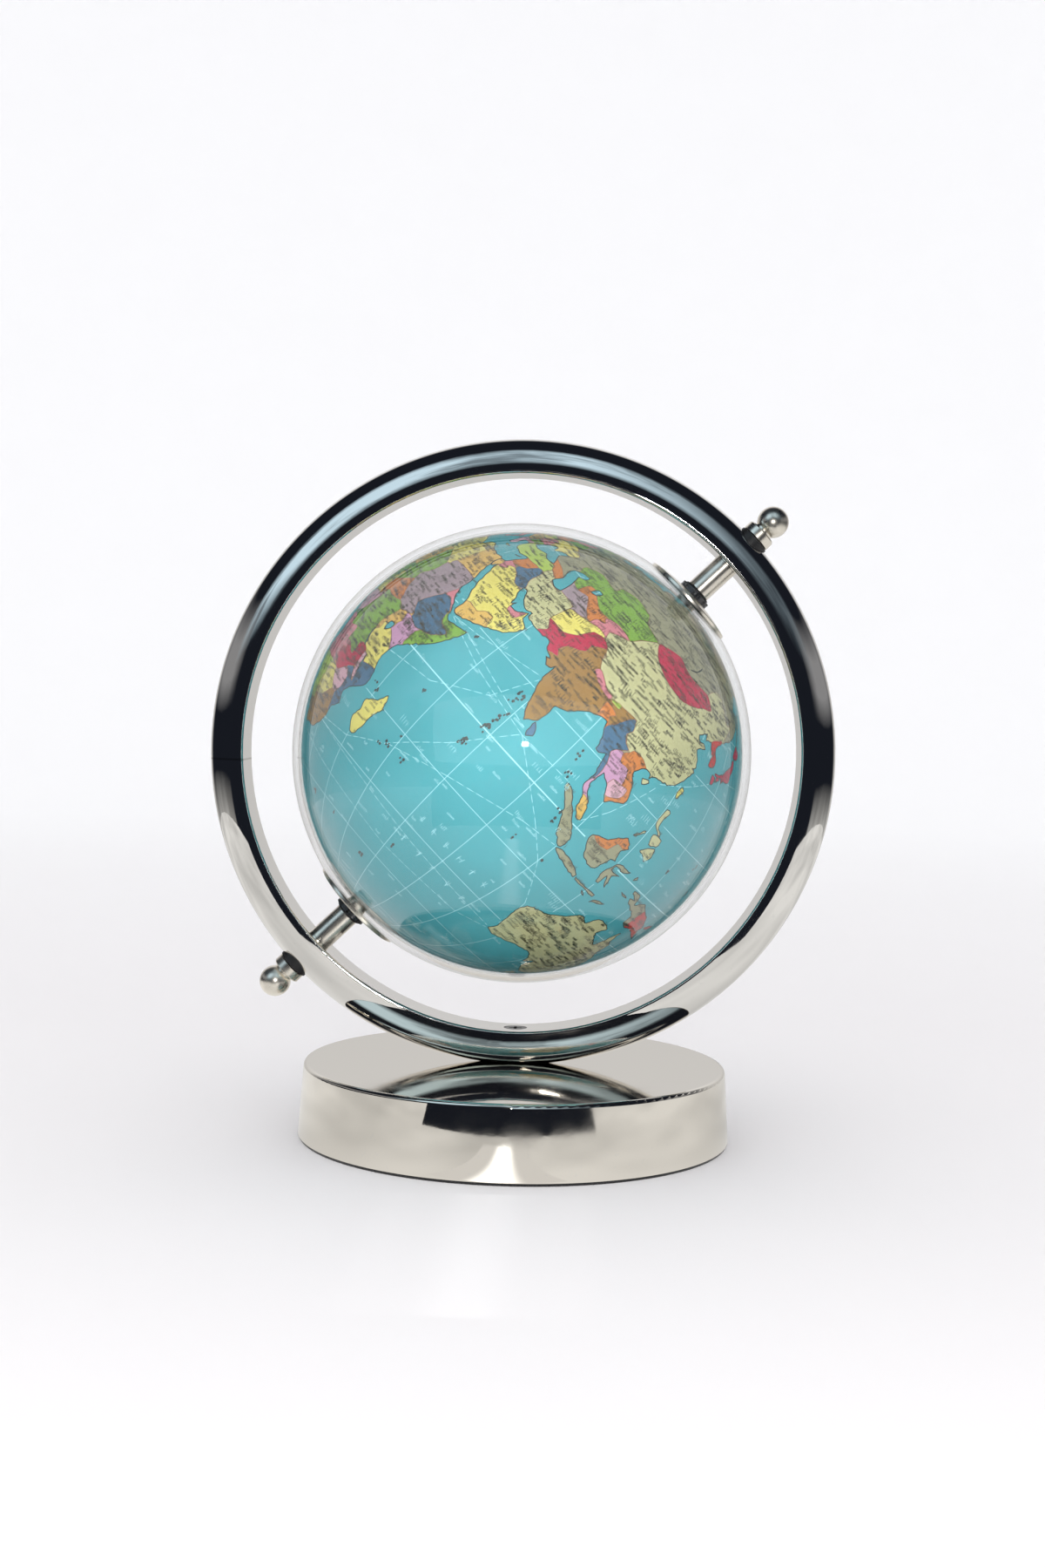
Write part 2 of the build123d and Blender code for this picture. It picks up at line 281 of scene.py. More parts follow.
# land outlines as longitude and latitude, smoothed and roughened further on
lands = {
    "africa":
        "-5.9 35.8 -2 35.1 3 36.9 9.9 37.3 11 36.9 10.2 34.3 11.5 33.1 15.3 32.3 19 30.3 20.1 32.3 22 32.9 "
        "25 31.6 29.5 31 31.5 31.5 32.6 31.1 32.5 29.9 33.6 27.8 35.5 24 37.2 21 37.4 18.8 39.5 15.5 42.7 "
        "12.8 43.3 11.5 44.8 10.4 51.2 11.9 50.8 9.5 48 4.5 45.5 2 42 -1 40 -3 39.3 -5 38.9 -7 39.5 -9 40.6 "
        "-11 40.6 -15 37 -17.7 34.8 -20 35.5 -23.5 33 -25.3 32.7 -28 30.8 -30.8 28 -33 25.6 -34 22 -34.1 20 "
        "-34.8 18.4 -34 18.2 -31.7 16.4 -28.6 15 -26.5 14.4 -22.5 12.2 -18 11.8 -16 13.4 -12.5 13.4 -9 12.3 "
        "-6 11.8 -4.6 9 -1 9.5 2.5 9.7 4 8.5 4.6 6 4.3 4.5 6.3 2 6.3 -2 4.8 -4.5 5.2 -7.6 4.4 -11.5 6.9 "
        "-13.2 8.9 -15 11 -16.8 12.5 -17.5 14.7 -16.4 16.5 -16.2 19.5 -17 21 -16 24 -14.5 26.2 -12.9 27.9 "
        "-9.8 29.8 -9.7 31.4 -7.5 33.6 -6.3 35",
    "eurasia":
        "32.6 31.1 32.6 30 33.4 28.2 34.2 27.8 34.9 29.4 35.2 28 37 25.5 39 21.8 41 19 42.8 16.5 43.3 13.2 "
        "45 12.8 48.5 14 52.2 15.6 55 17 57.8 19 59.8 22.5 58.5 23.6 56.8 24.4 56.4 26.3 55 25.2 53.5 24.2 "
        "51.6 24.2 51.6 25.9 50.8 24.8 50 26.7 48.5 28.3 48 30 49.5 30.1 50.8 28.8 52.5 27.5 54.8 26.5 57 27 "
        "57.3 25.7 61.6 25.1 66.5 25.4 67.3 24 68.5 23.3 70.3 22.6 69.2 22.2 70.8 20.8 72.3 21.2 72.7 22.2 "
        "72.8 19 73.4 16.2 74.8 13 76.3 9.6 77.5 8.1 78.2 9 79.9 10.3 80.3 13.2 80.1 15.6 82.3 16.6 85.2 "
        "19.4 87 21 88.7 21.7 90.5 22.4 91.8 22.4 92.3 20.8 94.2 17.5 94.3 16 95.5 15.8 97.2 16.9 97.7 14.5 "
        "98.6 11.5 98.3 8.2 99.7 6.6 100.4 5.2 101.3 2.9 103.4 1.4 104.1 1.8 103.4 4 102.2 6.2 100.6 7.2 "
        "99.3 9.3 99.5 11.5 100 13.4 101 12.7 102.6 12 103.6 10.5 105 8.7 106.7 10.3 109.2 11.8 109 14 107.5 "
        "16.7 105.7 18.9 106.8 20.7 108.3 21.6 109.9 21.4 110.2 20.4 110.7 21.3 113.5 22.2 116.5 23 118.6 "
        "24.7 120.3 27.2 122 30 120.9 30.6 121.9 31.5 120.4 33.8 119.3 35.1 120.4 36.2 122.5 37 120.8 37.8 "
        "118.9 37.4 117.8 38.7 119.3 39.6 121.2 40.8 121.5 39 124.3 40 125.1 38.4 126.5 36.8 126.4 34.5 "
        "129.1 35.2 129.4 37 127.5 39.6 129.8 41.8 131.9 43.1 135.2 44.5 138.5 47.2 140.4 50.2 141.2 53 "
        "137.5 54 140 58 143 59.3 151 59.4 155 59.3 160 61.8 163.5 62.4 163 61 159.5 59.8 156 57 155.6 54 "
        "156.7 51 158.5 53 160 54.5 162.8 56.2 162.2 58 165 60 170.3 60 174 61.8 177.5 62.6 179.3 62.5 177.5 "
        "64.7 180 65.1 180 68.9 175 69.8 170.5 69.1 161 69.5 152 70.9 140 72.5 132 71.5 128 73 118 73.4 113 "
        "74 113 76 104.3 77.7 98 76.2 87 75 80.5 73.5 81 72 74 71.3 74 73 69 72.9 66.8 70.8 67 69 60.5 69.5 "
        "55 68.4 46.5 68 44.5 68.6 43.5 66.4 40 64.4 37.5 64.2 34.8 64.6 33 66.6 40.5 66.4 41.2 67 36 69 31 "
        "69.9 25.7 71.1 18.5 69.8 14 67.5 10.7 64 5.2 62 5 59.5 7 58 8.2 58.2 10.6 59.3 11.6 58 12.6 56.2 "
        "10.6 57.7 8.2 57 8.1 55.5 8.8 53.9 5 53.3 3.3 51.4 1.6 50.8 0.1 49.5 -1.6 49.6 -1.5 48.6 -4.7 48.4 "
        "-1.2 45.8 -1.5 43.5 -8.2 43.7 -9.3 43 -8.8 41 -9.4 38.7 -8.9 37 -6.3 36.7 -5.5 36.1 -2.1 36.8 -0.5 "
        "38 0 39.8 3.1 41.9 3.2 43.2 6.5 43.1 8.8 44.4 10.4 43.3 12.4 41.7 15.6 40.1 15.7 37.9 17.1 39 17.1 "
        "40.5 18.4 39.9 16 41.7 13.6 43.5 12.4 44.6 13.6 45.7 15.2 44.2 19.3 42 19.5 40.5 21.2 38.3 21.7 "
        "36.8 23.1 36.5 24 37.8 22.9 39.4 23 40.4 26.2 40.4 26.4 38.5 27.3 37 30.5 36.3 32.5 36.1 36 36.8 "
        "35.8 35 34.9 32.5 34.2 31.3",
    "chukotka": "-180 65.1 -175.5 64.6 -173 64.3 -170 66 -172.5 67 -176 67.8 -180 68.9",
    "madagascar":
        "49.3 -12 50.5 -15.5 49.5 -17.5 47.8 -23 47 -25 45.2 -25.5 43.6 -23.5 43.3 -21.8 44.4 -19.8 44 -17.2 "
        "45.5 -15.8 47.5 -14.8 48.5 -13.3",
    "britain":
        "-5.7 50.1 1.4 51.2 0.3 52.9 -2 55.8 -3.8 57.7 -3.1 58.6 -5.1 58.5 -5.6 56 -3 54 -4.6 53.2 -5.2 51.8 "
        "-3 51.4",
    "ireland": "-6.2 52.2 -10.2 51.6 -9.9 54 -7.4 55.3 -5.6 54.5",
    "iceland": "-22.6 63.9 -14.5 64.4 -14.8 66 -19 66.1 -24 65.6", "sicily": "12.5 37.8 15.6 38.2 15.1 36.7",
    "sardinia": "8.4 39 9.7 39.2 9.5 42.9 8.6 42.3 8.2 40.8", "crete": "23.6 35.4 26.3 35.3 24 35",
    "cyprus": "32.4 34.8 34.5 35.6 33.5 34.9", "sriLanka": "79.9 9.7 81.2 8.6 81.8 7 80.6 5.95 79.9 7",
    "sumatra":
        "95.3 5.6 97.5 5.2 100.4 2.6 103.6 -0.3 106 -3 105.8 -5.8 104.5 -5.8 102.2 -3.8 100.4 -1 98.7 1.7 "
        "95.4 4.8",
    "java": "105.3 -6.7 106.8 -6 110.8 -6.4 112.6 -6.9 114.5 -7.8 114.4 -8.7 110 -8.1 106.5 -7.4",
    "borneo":
        "109.1 1.6 111.3 2.7 113 3.3 116.8 7 119.2 5.2 117.8 3.5 118.9 1 117.5 0.6 116.4 -3.5 114.6 -4.1 "
        "111.7 -3.4 110 -1.3 109 0.4",
    "sulawesi":
        "119.6 -5.6 118.8 -2.8 119.8 0.2 120.8 1.3 125 1.6 123.4 0.4 120.3 0.4 120.2 -1 123.3 -0.9 121.6 -2 "
        "122.8 -5.2 121.6 -4.2 120.6 -2.8 120.4 -5.5",
    "flores": "115 -8.2 119 -8.4 122.9 -8.2 122.8 -8.9 119.5 -8.8 115.2 -8.8",
    "timor": "123.6 -10.3 127.2 -8.4 125.2 -8.6 124 -9.3", "sumba": "119.2 -9.5 120.8 -10.2 119.8 -10.1",
    "halmahera": "127.6 0.8 128.5 1.5 128 2.2 127.5 1.2", "seram": "128 -3.1 130.8 -3.4 129 -3.6",
    "newGuinea":
        "131 -0.8 134 -0.8 135.2 -3.3 137.8 -1.5 141 -2.6 144.5 -3.8 147.8 -6.2 147.2 -7.5 150.8 -10.4 147 "
        "-9.4 143.5 -8.5 141 -9.1 138.5 -8.2 138 -5.5 133 -4 132 -2.8 134 -2.4 131.2 -1.5",
    "newBritain": "148.5 -5.6 152.2 -4.2 151.5 -5.5 149.5 -6.3",
    "luzon": "120.6 18.5 122.2 18.4 121.5 16 121.7 14.2 124 12.6 120.7 13.8 120.2 16.2",
    "visayas": "121.9 11.8 125.4 12.2 125.3 10.2 122.8 9.4",
    "palawan": "117.2 8.4 119.4 11.2 119.5 10.6 117.6 8.4",
    "mindanao": "122 7 123.5 8.6 125.5 9.7 126.5 7.5 125.4 5.7 124 6.5",
    "taiwan": "121 25.2 121.9 24.8 120.9 21.9 120.1 23.2",
    "hainan": "108.7 19.3 110.5 20.1 111 19.6 109.5 18.2",
    "kyushu": "130 33.6 131.8 33.4 131.3 31.4 130.3 31.2", "shikoku": "132.4 33.9 134.6 34.2 133 32.8",
    "honshu":
        "131 34.3 135.5 35.7 137 37.4 139.8 39.2 140 40.8 141.4 41.4 141.9 39.2 140.8 37 140.8 35.6 138.5 "
        "34.7 136.8 34.6 135.8 33.5 135 34.6 132.3 34",
    "hokkaido": "140.2 42 140.5 43.3 141.8 45.5 145.3 43.8 143.3 42",
    "sakhalin": "142.1 46 142.6 49 143.6 51 143 54.3 141.9 53 142 50 141.9 47",
    "novayaZemlya": "52 71 56 70.8 60 75.3 68.5 76.9 60 76.2 53.5 73",
    "svalbard": "11 79.5 16 76.6 24 78.5 27 80 20 80.4", "newSiberia": "138 75 150 75.3 141 73.6",
    "severnaya": "96 80 104 79 98 78.2", "franzJosef": "50 80.3 62 80.9 55 81.2",
    "australia":
        "114.1 -22 113.5 -24.5 113.8 -26.5 115.7 -31.8 115 -34.3 118 -35 121.5 -33.9 124 -33 126.5 -32.3 "
        "131.2 -31.5 134.2 -32.8 135.7 -34.9 137.8 -32.8 138.2 -35.4 140 -37.2 143.6 -38.8 146.4 -39 150 "
        "-37.4 151.3 -33.5 153.2 -30 153.3 -27 151 -23.7 149 -21 146.3 -18.9 145.4 -15.2 143.5 -14.3 142.6 "
        "-10.8 141.7 -13 140.9 -17.4 139.3 -17.4 135.6 -15 136.8 -12.2 132.6 -11.4 130.8 -12.4 129.4 -14.9 "
        "127.5 -14 125.8 -14.3 124.2 -16.2 122.2 -18 119.5 -20 117 -20.7",
    "tasmania": "144.7 -40.8 148.3 -41 147.3 -43.5 146 -43.5",
    "zealandNorth": "172.7 -34.5 175.5 -36.7 178.4 -37.8 176.9 -39.4 175.3 -41.5 174 -39.3 174.8 -37.5",
    "zealandSouth": "172.7 -40.6 174.3 -41.8 172.8 -43.8 170.7 -45.8 168.5 -46.6 166.6 -45.8 171 -42.5",
    "newCaledonia": "164.2 -20.3 167 -22.3 166 -22",
    "americas":
        "-168 65.6 -161.8 66.3 -166.5 68.4 -156.6 71.3 -141 69.6 -135 69.2 -128 70.4 -115 68.2 -108.5 67.8 "
        "-98 68 -94.5 71.8 -88 68.8 -82 69.5 -81.5 67.2 -87 65.2 -94.5 61.5 -94.7 58.8 -88 56.6 -82.3 55.2 "
        "-82 52.9 -79 51.3 -79.5 54.8 -76.6 57.2 -78.5 59 -77.5 62.5 -70 61.1 -69.6 59 -65.5 59.5 -64 60.3 "
        "-61.7 57.5 -57.3 54.6 -56 52 -60 50.2 -66.5 50.2 -70 47.2 -64.5 49 -65 47.3 -61 45.5 -66 43.6 -67 "
        "44.8 -70.3 43.6 -70 41.8 -74 40.6 -75.5 37.5 -75.7 35.4 -78.5 33.9 -81.2 31.5 -80 27 -80.5 25.2 -82 "
        "27 -82.8 28.5 -84 30 -89.3 30.2 -89.4 29.1 -94.5 29.4 -97.3 27.5 -97.7 22.5 -96 19.2 -94.5 18.2 "
        "-91.5 18.6 -90.3 21 -87 21.4 -88 18.2 -88.7 15.9 -83.3 15 -83.7 11 -81.5 8.9 -79.6 9.5 -77.4 8.6 "
        "-75.6 10.7 -71.7 12.3 -70 11.6 -64 10.4 -61.8 10.7 -60 8.5 -57 6 -51.7 4.2 -50 0.5 -48 -0.8 -44 "
        "-2.5 -39.5 -3 -35.2 -5.5 -34.8 -8 -37.2 -11.5 -39 -14 -39.2 -18 -41 -22 -44.5 -23.1 -48.5 -26 -48.8 "
        "-28.5 -53.5 -34 -57 -34.6 -57.6 -38 -62.2 -39 -65 -41 -63.7 -42.5 -67.4 -46 -65.8 -47.5 -69 -51 "
        "-68.3 -52.8 -65.2 -54.8 -70 -55 -74.8 -51.5 -75.5 -47 -73.5 -41.5 -73.6 -37 -71.5 -32 -70.3 -24 "
        "-70.3 -18.4 -76.2 -14 -79.8 -7.2 -81.3 -4.5 -80.3 -2.6 -80.1 0.2 -77.5 3.5 -77.5 7 -79 8.6 -80.5 "
        "7.5 -83 8.3 -85.7 10.2 -87.6 12.9 -92.3 14.5 -96 15.8 -101.8 17.7 -105.6 20.4 -105.8 22.6 -109.4 "
        "25.7 -112.3 28.8 -114.7 31.6 -112.5 27.3 -109.5 23.1 -112.2 25 -115 28.2 -117.2 32.6 -120.6 34.6 "
        "-122.5 37.8 -124.4 40.4 -124 46.2 -124.6 48.4 -122.8 49 -127.5 51 -130.3 54.3 -134 58 -139.7 59.6 "
        "-146 60.8 -151.8 59.3 -151 61 -154 58.8 -158 56.5 -164.8 54.6 -158 58.6 -162 59.2 -165.5 61.5 "
        "-164.5 63.1 -161 64.4 -166.2 64.5",
    "greenland":
        "-73 78.2 -62 81.5 -32 82.2 -18 80 -20 74 -22.5 70.5 -32 68 -40 65 -43.5 60 -48.5 61.3 -52 64.5 "
        "-53.5 67.5 -51 69.8 -55 72.5 -60 75.8 -69 76.2",
    "baffin":
        "-64.5 63 -61.5 66.5 -68 70 -78 73 -89 73.5 -85 70.2 -77 69.8 -72.5 67.2 -73 65 -77.5 65.2 -71.5 "
        "62.9 -66 62",
    "ellesmere": "-90 76.7 -80 76.2 -73 79 -64 81.8 -78 82.2 -92 81.2",
    "devon": "-92 76.3 -80 75.7 -80 74.6 -92 74.8",
    "victoria": "-117 69.8 -105 68.7 -102 70.5 -105 73 -116 73",
    "banks": "-124 71.3 -120 71.7 -119 74 -124 74.3", "melville": "-117 75.8 -106 76 -106 74.8 -113 74.5",
    "southampton": "-87 63.8 -81 64 -84 65.8", "somerset": "-100 73.8 -91 74 -92 72 -99 71.4",
    "newfoundland": "-59.3 47.7 -53 46.8 -53.2 48.8 -55.8 51.5 -57.4 50.6",
    "vancouver": "-128 50.8 -123.5 48.4 -125.5 48.8",
    "cuba": "-84.8 22 -81 23.1 -74.3 20.2 -77.5 19.9 -78 20.8 -82 22.4",
    "hispaniola": "-74.4 18.5 -73 19.9 -69.8 19.6 -68.4 18.6 -71.2 17.8",
    "jamaica": "-78.3 18.3 -76.2 18 -77.2 17.8", "puertoRico": "-67.2 18.4 -65.7 18.3 -66.5 17.9",
    "falklands": "-61 -51.8 -58 -51.5 -59.3 -52.3",
    "antarctica":
        "-180 -78 -158 -77.5 -147 -76 -130 -74.5 -102 -73.5 -85 -73 -73 -71.5 -67.5 -67.5 -60.5 -63.8 -57 "
        "-63.3 -61 -68 -62 -74.5 -50 -77.8 -35 -78 -25 -75 -10 -71 10 -70.2 30 -69.5 40 -69 52 -66.2 60 "
        "-67.3 70 -70 75 -69.3 88 -66.8 110 -66.3 130 -66.2 145 -67 160 -70 170 -71.5 165 -75 166 -77.8 180 "
        "-78 180 -84 -180 -84",
}
lakes = {
    "blackSea":
        "28 41.8 31.3 41.2 35 42 38.3 41 41.6 41.6 37.5 44.8 39 47 35 46.3 33.6 44.5 32.5 46 30.5 46.4 28.6 "
        "44",
    "caspian":
        "49 37.6 51.5 36.7 54 37.2 53.5 40 52.7 41.8 51 44.5 53 45.3 53 46.8 50 46.5 47.3 45 47.5 43 49.5 "
        "40.5 48.9 38.5",
    "aral": "58.5 44 60.8 44.5 61.3 46.3 59 46.3",
    "baikal": "104 51.6 107 52.5 109.8 55.5 108.6 53.8 106 52.2",
    "victoriaLake": "31.8 -1 32.5 -2.5 34 -1.2 34 0.2 32.3 0.2",
    "tanganyika": "29.2 -3.4 29.8 -6 31 -8.6 30.6 -8.6 29.4 -6",
    "malawiLake": "34.2 -9.7 34.9 -12 34.9 -14.2 34.4 -12",
    "baltic":
        "10.9 57.9 12.1 56.6 12.8 55.4 14.2 55.4 16.5 56.8 18.8 59.6 17.5 61.5 21.3 64.5 22.3 65.8 25.3 65 "
        "21.4 62 21.4 60.7 22.9 59.9 30 60 28 59.5 23.5 59.2 24.3 57.3 21.2 57 21 55.3 18.6 54.5 14.2 53.9 "
        "11 54 10 54.9 10.6 56.5",
    "superior": "-92 46.7 -88 48.8 -84.6 46.8 -88 46.6",
    "michigan": "-87.6 41.8 -86.3 42 -85.2 45.7 -87.6 44.6",
    "huron": "-84.4 45.9 -80.2 44.7 -82.4 43.1 -83.5 44.5", "erie": "-83.3 41.7 -79 42.8 -81 42.6",
    "greatBear": "-125 66 -118 66.5 -122 65.2", "greatSlave": "-117 61 -110 62.8 -112 61.6",
    "winnipeg": "-99 53.6 -96.5 50.6 -97.4 52.6",
}
# the ink of each land before any country is laid over it; the rest are grey khaki
islandInks = {
    "gold": "africa cyprus puertoRico", "yellow": "madagascar taiwan hispaniola",
    "rose": "britain iceland sicily sardinia zealandNorth zealandSouth jamaica", "green": "ireland americas",
    "lime": "crete", "slate": "sriLanka", "khaki": "luzon visayas palawan mindanao hainan australia tasmania",
    "crimson": "kyushu shikoku honshu hokkaido", "red": "newBritain", "white": "greenland antarctica",
    "orange": "cuba",
    "pink": "baffin ellesmere devon victoria banks melville southampton somerset newfoundland vancouver",
}
# lands that are divided into countries
countryLands = ("africa", "eurasia", "americas", "borneo", "newGuinea")
